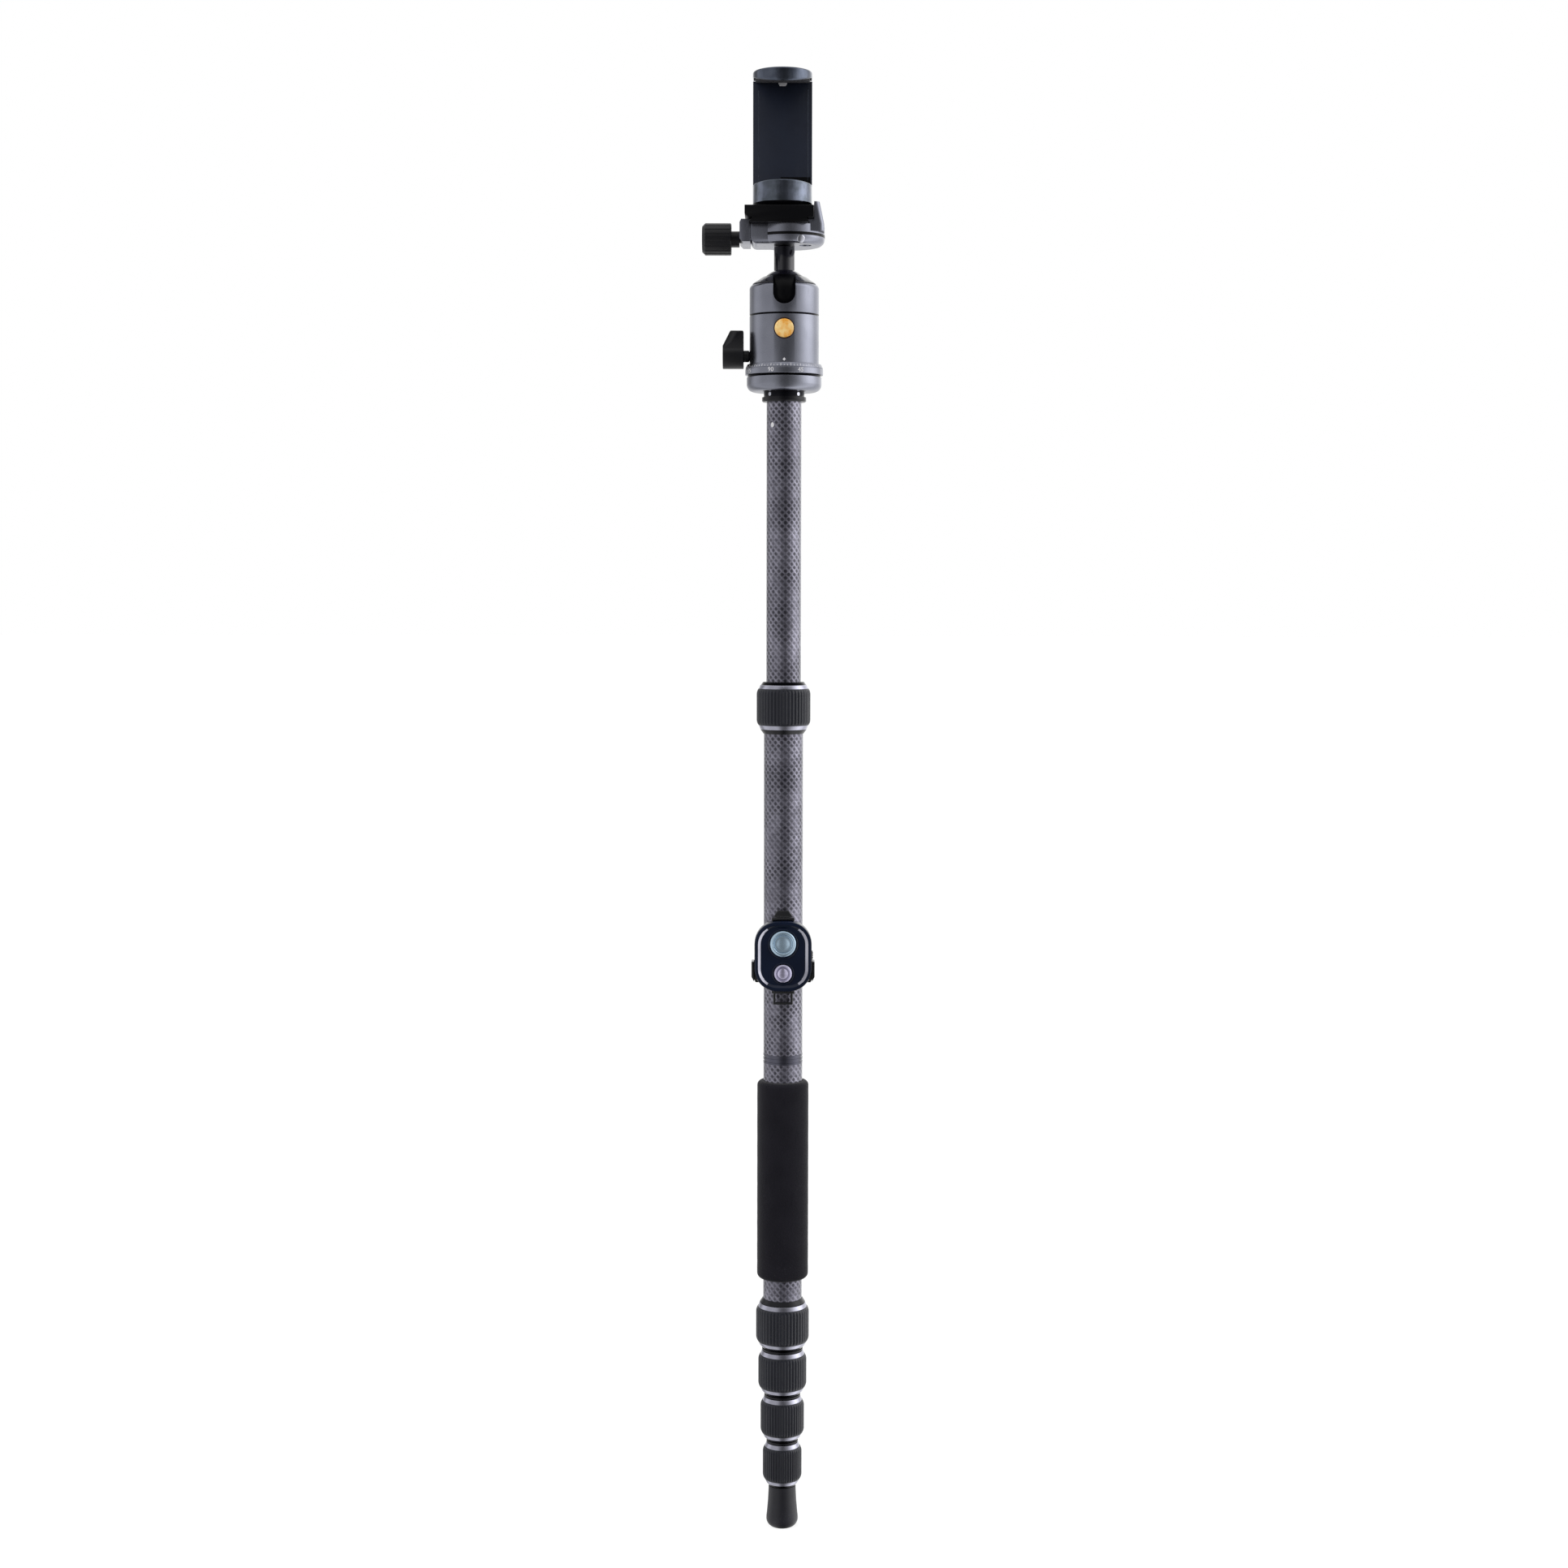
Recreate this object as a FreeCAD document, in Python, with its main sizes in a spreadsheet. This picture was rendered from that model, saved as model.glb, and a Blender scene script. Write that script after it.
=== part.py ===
import FreeCAD
import Part
import math
import os
import Sketcher

# Carbon travel tripod taken down to its monopod form, with a phone holder and a clip-on remote.
# The origin is the centre of the foot's sole and +Z runs up the tubes. -Y is the front, where
# the head's drop notch and the remote's buttons are, and -X is the side of the locking knobs.
# All lengths are in millimetres.

SIZES = {
    # tubes
    "tube_width": (26.0, "outside diameter of the leg's top tube and the column's lower tube"),
    "tube_step": (3.1, "how much narrower each inner tube is"),
    "tube_wall": (1.0, "wall of every tube"),
    "tube_stagger": (2.0, "how much lower each inner tube ends than the one around it"),
    "bush_height": (10.0, "height of one guide bush"),
    "bush_spacing": (14.0, "distance between the two bushes of a section"),
    # clearances
    "glue_gap": (0.02, "gap of two pieces bonded, screwed or pressed together"),
    "run_gap": (0.06, "radial clearance of a shaft, a bush or a ball in its seat"),
    "thread_gap": (0.1, "radial clearance of the lock nut on its sleeve"),
    "clear_gap": (0.3, "clearance of pieces that pass without guiding each other"),
    # twist locks
    "lip_height": (2.0, "dark lip at the end of a lock nut"),
    "lip_ring_height": (2.5, "bright band beside the lip of a lock nut"),
    "ring_height": (2.8, "bright band at the other end of a lock nut"),
    "grip_height": (22.5, "rubber of the three lower leg locks"),
    "first_grip_height": (23.6, "rubber of the top leg lock"),
    "column_grip_height": (24.1, "rubber of the column lock"),
    "seat_height": (1.4, "visible collar of the three lower lock sleeves"),
    "first_seat_height": (2.7, "visible collar of the top leg lock's sleeve"),
    "column_seat_height": (2.5, "visible collar of the column lock's sleeve"),
    "grip_swell": (4.8, "how far the rubber stands out from its tube"),
    "grip_end": (3.6, "how far the rubber's ends stand out from its tube"),
    "grip_round": (3.5, "height of the rounding at the rubber's ends"),
    "grip_arc": (6.0, "radius of the rounding at the rubber's ends"),
    "rib_count": (30, "grooves round a rubber grip"),
    "rib_radius": (0.45, "radius of a groove in a rubber grip"),
    "nut_recess": (3.0, "how far the nut's wall under the rubber stands out from its tube"),
    "ring_swell": (3.4, "how far the bright bands stand out from their tube"),
    "ring_fall": (1.0, "how much narrower the bright bands are at their outer edge"),
    "lip_swell": (2.0, "how far the dark lip stands out from its tube"),
    "lip_bevel": (1.4, "how much narrower the dark lip is at its end"),
    "neck_swell": (1.6, "how far the threaded neck of the sleeve stands out from its tube"),
    "seat_swell": (2.3, "how far the lower sleeves' collar stands out from its tube"),
    "seat_taper": (0.4, "how far the narrow end of a long collar stands out from its tube"),
    "seat_base": (2.2, "how far the wide end of a long collar stands out from its tube"),
    "collet_height": (14.0, "height of the split collet"),
    "collet_skirt": (3.0, "height of the collet's wide end"),
    "collet_wall": (0.9, "wall of the collet"),
    "collet_swell": (1.2, "how far the collet's wide end stands out from the tube above it"),
    "collet_slot": (1.4, "width of the collet's slot"),
    # foot
    "foot_height": (28.0, "height of the rubber foot"),
    "foot_width": (21.4, "widest diameter of the rubber foot"),
    "foot_top_width": (18.4, "diameter of the rubber foot's upper end"),
    "sole_width": (15.0, "diameter of the sole"),
    "foot_round": (5.0, "height of the sole's rounding"),
    "foot_arc": (5.6, "radius of the sole's rounding"),
    "plug_low": (8.0, "height of the rubber below the plug's flange"),
    "plug_flange": (4.0, "thickness of the plug's flange"),
    "plug_length": (18.0, "length of the plug inside the tube"),
    "foot_stud_width": (6.0, "diameter of the stud in the rubber"),
    "foot_stud_low": (3.0, "height of the stud's lower end"),
    # foam grip, joint and column
    "foam_width": (34.4, "diameter of the foam grip"),
    "foam_length": (134.3, "length of the foam grip"),
    "foam_round": (3.4, "radius of the foam's ends"),
    "stub_low": (14.1, "bare tube between the top leg lock and the foam"),
    "stub_high": (12.15, "bare tube between the foam and the joint"),
    "joint_height": (6.2, "visible height of the dark joint ring"),
    "joint_width": (26.3, "diameter of the joint ring"),
    "joint_groove": (0.5, "depth of the joint ring's grooves"),
    "joint_spigot": (12.0, "length of the joint's spigots"),
    "column_lower_bare": (214.25, "bare lower column tube between the joint and the column lock"),
    "column_upper_bare": (183.4, "bare upper column tube above its lock"),
    "column_inner": (61.5, "upper column tube hidden below the lock's top"),
    # top plate
    "plate_flange_width": (29.0, "diameter of the column's top flange"),
    "plate_flange": (3.0, "thickness of the column's top flange"),
    "plate_neck_width": (26.6, "diameter of the neck above the flange"),
    "plate_neck": (3.5, "height of the neck above the flange"),
    "plate_spigot": (14.0, "length of the top plate's spigot in the tube"),
    "stud_width": (9.525, "diameter of the three eighths inch stud"),
    "stud_length": (8.0, "length of the stud"),
    "grub_width": (2.4, "diameter of a set screw"),
    "grub_length": (3.4, "length of a set screw"),
    "grub_count": (4, "set screws round the neck"),
    # head
    "base_inset": (1.0, "how far the pan base stands back from the degree ring"),
    "base_height": (9.45, "height of the pan base"),
    "base_sole_inset": (4.75, "how far the flat underside stands back from the pan base"),
    "base_round": (4.9, "rounding under the pan base"),
    "gap_height": (1.4, "height of the dark seam above the pan base"),
    "gap_inset": (0.7, "depth of the dark seam in the pan base"),
    "scale_wall": (2.5, "thickness of the degree ring"),
    "scale_height": (6.8, "height of the degree ring"),
    "scale_bevel": (1.2, "bevel of the degree ring"),
    "spindle_width": (18.0, "diameter of the pan spindle"),
    "spindle_height": (16.15, "height of the pan spindle above the seam"),
    "spindle_groove": (1.0, "depth of the groove that the pan screw presses in"),
    "head_width": (45.4, "diameter of the head's housing"),
    "head_height": (58.15, "height of the head's housing"),
    "head_round": (3.0, "rounding of the housing's shoulder"),
    "head_line": (19.4, "height from the seam line to the housing's top"),
    "head_line_width": (1.0, "width of the seam line"),
    "head_line_depth": (0.4, "depth of the seam line"),
    "head_wall": (4.5, "thickness of the housing round the ball"),
    "ball_drop": (7.0, "height from the ball's centre to the housing's top"),
    "ball_cavity_gap": (0.7, "gap round the ball in the housing"),
    "cup_height": (19.4, "height of the ball's cup"),
    "cup_floor": (29.7, "depth of the cup's floor under the ball's centre"),
    "collar_inset": (1.9, "how far the black collar stands back from the housing"),
    "collar_mouth": (26.8, "diameter of the collar's opening"),
    "collar_lip": (0.56, "height of the collar's rim above the ball at its opening"),
    "collar_skirt": (3.0, "depth of the collar's skirt in the housing"),
    "stem_width": (13.6, "diameter of the ball's stem"),
    "notch_gap": (0.4, "gap beside the stem in the drop notch"),
    "stem_height": (31.5, "height of the stem's shoulder above the ball's centre"),
    "pin_width": (8.0, "diameter of the pin at the stem's top"),
    "pin_height": (8.0, "height of the pin up to its head"),
    "pin_head_width": (12.6, "diameter of the pin's head"),
    "pin_head_height": (3.2, "height of the pin's head"),
    "cap_width": (12.4, "diameter of the orange cap"),
    "cap_depth": (3.6, "length of the orange cap"),
    "cap_height": (22.8, "depth of the orange cap's centre under the ball's centre"),
    "cap_proud": (0.5, "how far the orange cap stands out of the housing"),
    # knobs
    "pan_axis": (12.05, "height of the pan knob's axis above the housing's lower edge"),
    "pan_shaft_width": (6.0, "diameter of the pan screw"),
    "pan_neck_width": (7.6, "diameter of the pan knob's neck"),
    "pan_hub_width": (16.4, "diameter of the pan knob's hub"),
    "pan_hub_length": (13.6, "length of the pan knob"),
    "pan_hub_gap": (1.1, "distance of the pan knob's inner face from the degree ring"),
    "pan_wing_reach": (16.4, "reach of the pan knob's wing"),
    "pan_wing_root": (7.4, "half width of the wing at its root"),
    "pan_wing_tip": (5.0, "half width of the wing at its tip"),
    "pan_wing_slope": (5.0, "slope across the wing's outer face"),
    "pan_wing_fall": (10.0, "length of the sloped part of the wing"),
    "wing_round": (1.0, "rounding of the wing's tip"),
    "lock_drop": (24.0, "depth of the ball lock's axis under the ball's centre"),
    "lock_shaft_width": (8.0, "diameter of the ball lock's screw"),
    "lock_neck_width": (12.0, "diameter of the ball lock knob's neck"),
    "lock_hub_width": (24.0, "diameter of the ball lock knob"),
    "lock_hub_length": (16.0, "length of the ball lock knob"),
    "lock_hub_gap": (2.9, "distance of the ball lock knob from the housing"),
    "lock_flute_count": (8, "flutes round the ball lock knob"),
    "lock_flute_radius": (3.0, "radius of a flute of the ball lock knob"),
    # clamp
    "clamp_height": (12.4, "height of the clamp's body"),
    "clamp_disc_width": (46.6, "diameter of the clamp's round side"),
    "clamp_disc_shift": (3.0, "shift of the clamp's round side from the stem's axis"),
    "clamp_left": (21.8, "reach of the clamp's body to the left"),
    "clamp_depth": (37.6, "depth of the clamp's jaws"),
    "clamp_round": (4.5, "rounding under the clamp's body"),
    "clamp_bore_drop": (7.7, "depth of the clamp screw's axis under the clamp's top"),
    "clamp_screw_width": (5.0, "diameter of the clamp screw"),
    "clamp_screw_reach": (7.9, "distance of the clamp screw's end from the stem's axis"),
    "jaw_thickness": (6.9, "thickness of the moving jaw"),
    "jaw_pin_width": (3.0, "diameter of the moving jaw's guide pins"),
    "jaw_pin_length": (9.5, "length of the moving jaw's guide pins"),
    "jaw_pin_spread": (11.0, "distance of a guide pin from the middle"),
    "fence_height": (14.2, "height of the fixed jaw's fence above the clamp's body"),
    "fence_top": (3.6, "thickness of the fence at its top"),
    "fence_base": (6.6, "thickness of the fence at its base"),
    "knob_width": (20.6, "diameter of the clamp knob"),
    "knob_length": (19.0, "length of the clamp knob"),
    "knob_bevel": (2.0, "bevel of the clamp knob"),
    "knob_neck_width": (10.4, "diameter of the clamp knob's neck"),
    "knob_neck_length": (5.3, "length of the clamp knob's neck"),
    "knob_flute_count": (18, "flutes round the clamp knob"),
    "knob_flute_radius": (0.7, "radius of a flute of the clamp knob"),
    "recess_width": (8.0, "diameter of the recess under the clamp"),
    "recess_depth": (1.6, "depth of the recess under the clamp"),
    # quick release plate
    "dovetail_width": (38.0, "width of the plate's dovetail foot"),
    "dovetail_edge": (1.0, "height of the dovetail's straight edge"),
    "dovetail_slope": (2.0, "rise and run of the dovetail's slope"),
    "dovetail_shift": (-3.4, "middle of the plate from the stem's axis"),
    "plate_width": (44.6, "width of the plate's upper body"),
    "plate_length": (50.0, "length of the plate"),
    "plate_top": (7.8, "height of the plate's upper body"),
    "plate_bevel": (2.4, "bevel under the plate's left edge"),
    "screw_width": (6.35, "diameter of the quarter inch camera screw"),
    "screw_head_width": (15.0, "diameter of the camera screw's head"),
    "screw_head_height": (4.6, "height of the camera screw's head"),
    "screw_pocket": (6.4, "depth of the camera screw's pocket in the plate"),
    "screw_reach": (7.4, "length of the camera screw above the plate"),
    # phone holder
    "holder_shift": (-1.3, "middle of the phone holder from the stem's axis"),
    "holder_width": (38.6, "width of the phone holder"),
    "holder_front": (24.0, "reach of the jaws to the front"),
    "panel_front": (6.0, "distance of the back panel's face behind the stem's axis"),
    "panel_thickness": (9.0, "thickness of the back panel"),
    "panel_round": (2.4, "rounding of the back panel's edges"),
    "lower_jaw_height": (14.8, "height of the lower jaw"),
    "phone_gap": (69.1, "gap between the jaws when they are closed"),
    "upper_jaw_height": (3.6, "height of the upper jaw"),
    "upper_jaw_round": (1.4, "rounding of the upper jaw's top"),
    "tongue_width": (20.0, "width of the upper jaw's tongue"),
    "tongue_thickness": (2.4, "thickness of the upper jaw's tongue"),
    "tongue_length": (38.0, "length of the upper jaw's tongue"),
    "pad_thickness": (1.2, "thickness of the jaws' rubber pads"),
    "pad_inset": (1.6, "how far the pads stay inside the jaws' edge"),
    "spring_width": (4.4, "outside diameter of a holder spring"),
    "spring_bore": (3.0, "inside diameter of a holder spring"),
    "spring_channel": (5.2, "diameter of a spring's channel"),
    "spring_spread": (14.2, "distance of a spring from the holder's middle"),
    "spring_length": (56.0, "length of a holder spring"),
    # remote and its clip
    "remote_height": (69.0, "height of the remote's middle above the joint ring"),
    "remote_width": (37.6, "width of the remote"),
    "remote_length": (46.1, "length of the remote"),
    "remote_corner": (15.0, "radius of the remote's corners"),
    "remote_edge": (0.9, "rounding of the remote's edges"),
    "back_thickness": (4.8, "thickness of the remote's back shell"),
    "front_thickness": (6.2, "thickness of the remote's front shell"),
    "remote_wall": (1.5, "wall of the remote's shells"),
    "big_button_width": (17.2, "diameter of the large button"),
    "big_button_inset": (14.6, "depth of the large button's centre under the remote's top"),
    "small_button_width": (12.0, "diameter of the small button"),
    "small_button_inset": (11.9, "height of the small button's centre above the remote's foot"),
    "button_proud": (0.7, "how far the buttons stand out"),
    "button_flange": (0.9, "how much wider the buttons' flange is"),
    "button_flange_height": (0.6, "thickness of the buttons' flange"),
    "switch_length": (6.0, "length of the slide switch"),
    "switch_width": (2.6, "width of the slide switch"),
    "switch_travel": (2.0, "travel of the slide switch"),
    "switch_rise": (0.85, "height of the slide switch's middle above the remote's middle"),
    "switch_proud": (0.9, "how far the slide switch stands out"),
    "board_thickness": (1.0, "thickness of the remote's board"),
    "board_inset": (2.6, "gap from the remote's outline to its board"),
    "dome_width": (5.0, "diameter of a switch dome on the board"),
    "cell_width": (20.0, "diameter of the button cell"),
    "cell_thickness": (3.2, "thickness of the button cell"),
    "clip_wall": (2.3, "wall of the clip round the tube"),
    "clip_height": (24.0, "height of the clip round the tube"),
    "clip_mouth": (19.0, "width of the clip's mouth at the back"),
    "tray_thickness": (2.2, "thickness of the tray behind the remote"),
    "tray_inset": (2.0, "how far the tray stays inside the remote's outline"),
    "wing_thickness": (1.7, "thickness of the tray's side wings"),
    "wing_length": (15.0, "length of the tray's side wings"),
    "wing_drop": (11.15, "depth of the wings' middle below the remote's middle"),
    "wing_reach": (8.6, "reach of the wings to the front"),
    "hook_width": (15.0, "width of the tray's top hook"),
    "hook_thickness": (1.8, "thickness of the tray's hook and shelf"),
    "hook_reach": (6.0, "reach of the tray's hook and shelf to the front"),
    "hook_tip": (3.8, "height of the thumb tab above the hook"),
    "loop_width": (13.0, "width of the lanyard loop"),
    "loop_height": (8.4, "height of the lanyard loop"),
    "loop_wall": (1.6, "wall of the lanyard loop"),
}

TUBES = 5
STRAIGHT = FreeCAD.Rotation()
FACING_FRONT = FreeCAD.Rotation(FreeCAD.Vector(1, 0, 0), 90)
FACING_BACK = FreeCAD.Rotation(FreeCAD.Vector(1, 0, 0), -90)
FACING_LEFT = FreeCAD.Rotation(FreeCAD.Vector(0, 1, 0), -90)
UPSIDE_DOWN = FreeCAD.Rotation(FreeCAD.Vector(1, 0, 0), 180)

doc = FreeCAD.newDocument("Monopod")
pieces = []
cuts = []


class Size:
    """A length that knows its value and the formula in the sheet that gives it."""

    def __init__(self, value, text):
        self.value = float(value)
        self.text = text

    def __add__(self, other):
        other = sized(other)
        return Size(self.value + other.value, f"({self.text} + {other.text})")

    def __sub__(self, other):
        other = sized(other)
        return Size(self.value - other.value, f"({self.text} - {other.text})")

    def __mul__(self, other):
        other = sized(other)
        return Size(self.value * other.value, f"({self.text} * {other.text})")

    def __truediv__(self, other):
        other = sized(other)
        return Size(self.value / other.value, f"({self.text} / {other.text})")

    def __neg__(self):
        return Size(-self.value, f"(0 - {self.text})")

    def __radd__(self, other):
        return sized(other) + self

    def __rsub__(self, other):
        return sized(other) - self

    def __rmul__(self, other):
        return sized(other) * self


def sized(item):
    """A plain number as a Size, and a Size as it is."""
    if isinstance(item, Size):
        return item
    return Size(item, f"({float(item)!r})")


def root(item):
    """Square root of a Size."""
    return Size(math.sqrt(item.value), f"sqrt({item.text})")


def reach(radius, offset):
    """Half chord of a circle at an offset from its centre."""
    return root(radius * radius - offset * offset)


def make_sheet():
    """Write the driving sizes to the sheet, one named cell each."""
    sheet = doc.addObject("Spreadsheet::Sheet", "Sizes")
    for row, (alias, (value, meaning)) in enumerate(SIZES.items(), start=1):
        sheet.set(f"A{row}", meaning)
        sheet.set(f"B{row}", str(value))
        sheet.setAlias(f"B{row}", alias)
    doc.recompute()


def size(alias):
    """The Size of one named cell."""
    return Size(SIZES[alias][0], f"Sizes.{alias}")


def bind(item, prop, value):
    """Tie a property to a Size."""
    item.setExpression(prop, sized(value).text)


def place(item, x=0, y=0, z=0, turn=STRAIGHT):
    """Put a piece at a place that follows the sheet."""
    spot = [sized(value) for value in (x, y, z)]
    item.Placement = FreeCAD.Placement(FreeCAD.Vector(*[s.value for s in spot]), turn)
    for axis, value in zip("xyz", spot):
        bind(item, f"Placement.Base.{axis}", value)


def keep(item, name):
    """Name a finished piece and list it for writing."""
    item.Label = name
    pieces.append(item)
    return item


def new_body(name):
    """An empty body that becomes the piece of that name."""
    return keep(doc.addObject("PartDesign::Body", name), name)


def origin_part(body, role):
    """One of the body's own origin planes or axes."""
    return next(item for item in body.Origin.OriginFeatures if item.Role == role)


def new_sketch(body, name, role="XY_Plane", offset=0):
    """A sketch on one of the body's own origin planes, moved along the plane's normal."""
    sketch = body.newObject("Sketcher::SketchObject", name)
    sketch.AttachmentSupport = [(origin_part(body, role), "")]
    sketch.MapMode = "FlatFace"
    sketch.AttachmentOffset.Base = FreeCAD.Vector(0, 0, sized(offset).value)
    bind(sketch, "AttachmentOffset.Base.z", offset)
    return sketch


def fix_point(sketch, edge, end, x, y):
    """Hold a sketch point at x and y."""
    for kind, value, axis in (("DistanceX", sized(x), -2), ("DistanceY", sized(y), -1)):
        if value.text == "(0.0)":
            sketch.addConstraint(Sketcher.Constraint("PointOnObject", edge, end, axis))
        else:
            number = sketch.addConstraint(
                Sketcher.Constraint(kind, -1, 1, edge, end, value.value)
            )
            bind(sketch, f"Constraints[{number}]", value)


def fix_radius(sketch, edge, radius):
    """Hold the radius of a circle or an arc."""
    number = sketch.addConstraint(Sketcher.Constraint("Radius", edge, sized(radius).value))
    bind(sketch, f"Constraints[{number}]", radius)


def add_circle(sketch, x, y, radius):
    """Draw a circle."""
    centre = FreeCAD.Vector(sized(x).value, sized(y).value, 0)
    circle = Part.Circle(centre, FreeCAD.Vector(0, 0, 1), sized(radius).value)
    edge = sketch.addGeometry(circle, False)
    fix_point(sketch, edge, 3, x, y)
    fix_radius(sketch, edge, radius)


def arc_between(start, end, radius, turn):
    """The arc from start to end that turns left or right, and the order of its two ends."""
    across = end - start
    half = across.Length / 2
    rise = math.sqrt(max(radius * radius - half * half, 0))
    left = FreeCAD.Vector(-across.y, across.x, 0).normalize()
    side = 1 if turn == "left" else -1
    centre = (start + end) / 2 + left * rise * side
    circle = Part.Circle(centre, FreeCAD.Vector(0, 0, 1), radius)
    first, last = (start, end) if turn == "left" else (end, start)
    low, high = [math.atan2(p.y - centre.y, p.x - centre.x) for p in (first, last)]
    order = (1, 2) if turn == "left" else (2, 1)
    return Part.ArcOfCircle(circle, low, high), order


def add_outline(sketch, corners):
    """Draw a closed outline. A corner is (x, y), or (x, y, radius, turn) where an arc leaves it."""
    spots = [FreeCAD.Vector(sized(c[0]).value, sized(c[1]).value, 0) for c in corners]
    edges = []
    for corner, start, end in zip(corners, spots, spots[1:] + spots[:1]):
        if len(corner) == 2:
            shape = Part.LineSegment(start, end)
            order = (1, 2)
        else:
            shape, order = arc_between(start, end, sized(corner[2]).value, corner[3])
        edges.append((sketch.addGeometry(shape, False), order))
    for corner, before, here in zip(corners, edges[-1:] + edges[:-1], edges):
        sketch.addConstraint(
            Sketcher.Constraint("Coincident", before[0], before[1][1], here[0], here[1][0])
        )
        fix_point(sketch, here[0], here[1][0], corner[0], corner[1])
        if len(corner) == 4:
            fix_radius(sketch, here[0], corner[2])


def add_rectangle(sketch, x_low, x_high, y_low, y_high):
    """Draw a rectangle."""
    add_outline(sketch, [(x_low, y_low), (x_high, y_low), (x_high, y_high), (x_low, y_high)])


def add_rounded(sketch, half_width, half_height, corner):
    """Draw a rectangle with round corners about the sketch's origin."""
    flat_x = half_width - corner
    flat_y = half_height - corner
    add_outline(sketch, [
        (-flat_x, -half_height),
        (flat_x, -half_height, corner, "left"),
        (half_width, -flat_y),
        (half_width, flat_y, corner, "left"),
        (flat_x, half_height),
        (-flat_x, half_height, corner, "left"),
        (-half_width, flat_y),
        (-half_width, -flat_y, corner, "left"),
    ])


def turned(name, corners):
    """A body turned about Z from an outline of (radius, height) corners."""
    body = new_body(name)
    sketch = new_sketch(body, f"{name}_profile", "XZ_Plane")
    add_outline(sketch, corners)
    turn = body.newObject("PartDesign::Revolution", f"{name}_turned")
    turn.Profile = sketch
    turn.ReferenceAxis = (sketch, ["V_Axis"])
    turn.Angle = 360
    sketch.Visibility = False
    return body


def pad(body, name, sketch, length, back=False):
    """Add material from a sketch along its normal, or against it."""
    feature = body.newObject("PartDesign::Pad", name)
    feature.Profile = sketch
    bind(feature, "Length", length)
    feature.Reversed = back
    return feature


def pocket(body, name, sketch, length, ahead=False):
    """Cut a sketch against its normal, or along it."""
    feature = body.newObject("PartDesign::Pocket", name)
    feature.Profile = sketch
    bind(feature, "Length", length)
    feature.Reversed = ahead
    cuts.append(feature)
    return feature


def ring_of(body, name, feature, count):
    """Repeat a cut evenly about the body's upright axis."""
    pattern = body.newObject("PartDesign::PolarPattern", name)
    pattern.Originals = [feature]
    pattern.Axis = (origin_part(body, "Z_Axis"), [""])
    pattern.Angle = 360
    bind(pattern, "Occurrences", count)
    body.Tip = pattern
    return pattern


def soften(body, name, radius, chosen):
    """Round the edges of the body's last feature that a test picks."""
    doc.recompute()
    last = body.Tip
    picked = [f"Edge{n}" for n, edge in enumerate(last.Shape.Edges, start=1) if chosen(edge)]
    feature = body.newObject("PartDesign::Fillet", name)
    feature.Base = (last, picked)
    bind(feature, "Radius", radius)
    return feature


def lies_at(edge, axis, value):
    """Whether an edge lies flat at one height along an axis."""
    box = edge.BoundBox
    low, high = [getattr(box, f"{axis}{end}") for end in ("Min", "Max")]
    return high - low < 0.01 and abs((low + high) / 2 - sized(value).value) < 0.01


def rod(name, radius, height, x=0, y=0, z=0, turn=STRAIGHT):
    """A plain cylinder."""
    cylinder = doc.addObject("Part::Cylinder", name)
    bind(cylinder, "Radius", radius)
    bind(cylinder, "Height", height)
    place(cylinder, x, y, z, turn)
    return cylinder


def pipe(name, outer, inner, height, x=0, y=0, z=0):
    """A plain tube: one cylinder less another."""
    hole = rod(f"{name}_bore", inner, height + 2, x, y, z - 1)
    shell = doc.addObject("Part::Cut", name)
    shell.Base = rod(f"{name}_stock", outer, height, x, y, z)
    shell.Tool = hole
    return shell


def group(name, items):
    """Several separate solids of one kind as one piece."""
    bundle = doc.addObject("Part::Compound", f"{name}_group")
    bundle.Links = items
    return keep(bundle, name)


def tube_radius(number):
    """Outer radius of a leg tube, counted from the top one."""
    return (size("tube_width") - size("tube_step") * (number - 1)) / 2


def lock_grip(number):
    """Height of a lock's rubber. Number 0 is the column's lock."""
    names = {0: "column_grip_height", 1: "first_grip_height"}
    return size(names.get(number, "grip_height"))


def lock_seat(number):
    """Height of a lock sleeve's visible collar."""
    names = {0: "column_seat_height", 1: "first_seat_height"}
    return size(names.get(number, "seat_height"))


def nut_height(number):
    """Height of a lock nut with its lip and two bands."""
    return size("lip_height") + size("lip_ring_height") + lock_grip(number) + size("ring_height")


def lock_height(number):
    """Height of a whole lock from its nut's lip to its sleeve's collar."""
    return nut_height(number) + size("clear_gap") + lock_seat(number)


def tube_end_in_lock():
    """Height above the lip at which the outer tube ends inside its lock."""
    return size("lip_height") + size("clear_gap") + size("collet_height") + size("clear_gap")


def nut_low(number):
    """Height of a leg lock's lip above the sole."""
    lowest = size("foot_height") + size("clear_gap")
    for below in range(TUBES - 1, number, -1):
        lowest = lowest + lock_height(below) + size("clear_gap")
    return lowest


def seat_top():
    """Height of the top leg lock's upper end."""
    return nut_low(1) + lock_height(1)


def foam_low():
    """Height of the foam grip's lower end."""
    return seat_top() + size("stub_low")


def joint_low():
    """Height of the joint ring's lower side."""
    return foam_low() + size("foam_length") + size("stub_high")


def joint_high():
    """Height of the joint ring's upper side."""
    return joint_low() + size("joint_height")


def column_lock_top():
    """Height of the column lock's upper end, its nut's lip."""
    return joint_high() + size("column_lower_bare") + lock_height(0)


def plate_low():
    """Height of the column's upper end."""
    return column_lock_top() + size("column_upper_bare")


def base_low():
    """Height of the pan base's underside."""
    return plate_low() + size("plate_flange") + size("plate_neck")


def seam_low():
    """Height of the dark seam over the pan base."""
    return base_low() + size("base_height")


def seam_high():
    """Height of the pan base's upper side."""
    return seam_low() + size("gap_height")


def head_low():
    """Height of the housing's lower edge."""
    return seam_high() + size("clear_gap")


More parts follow.
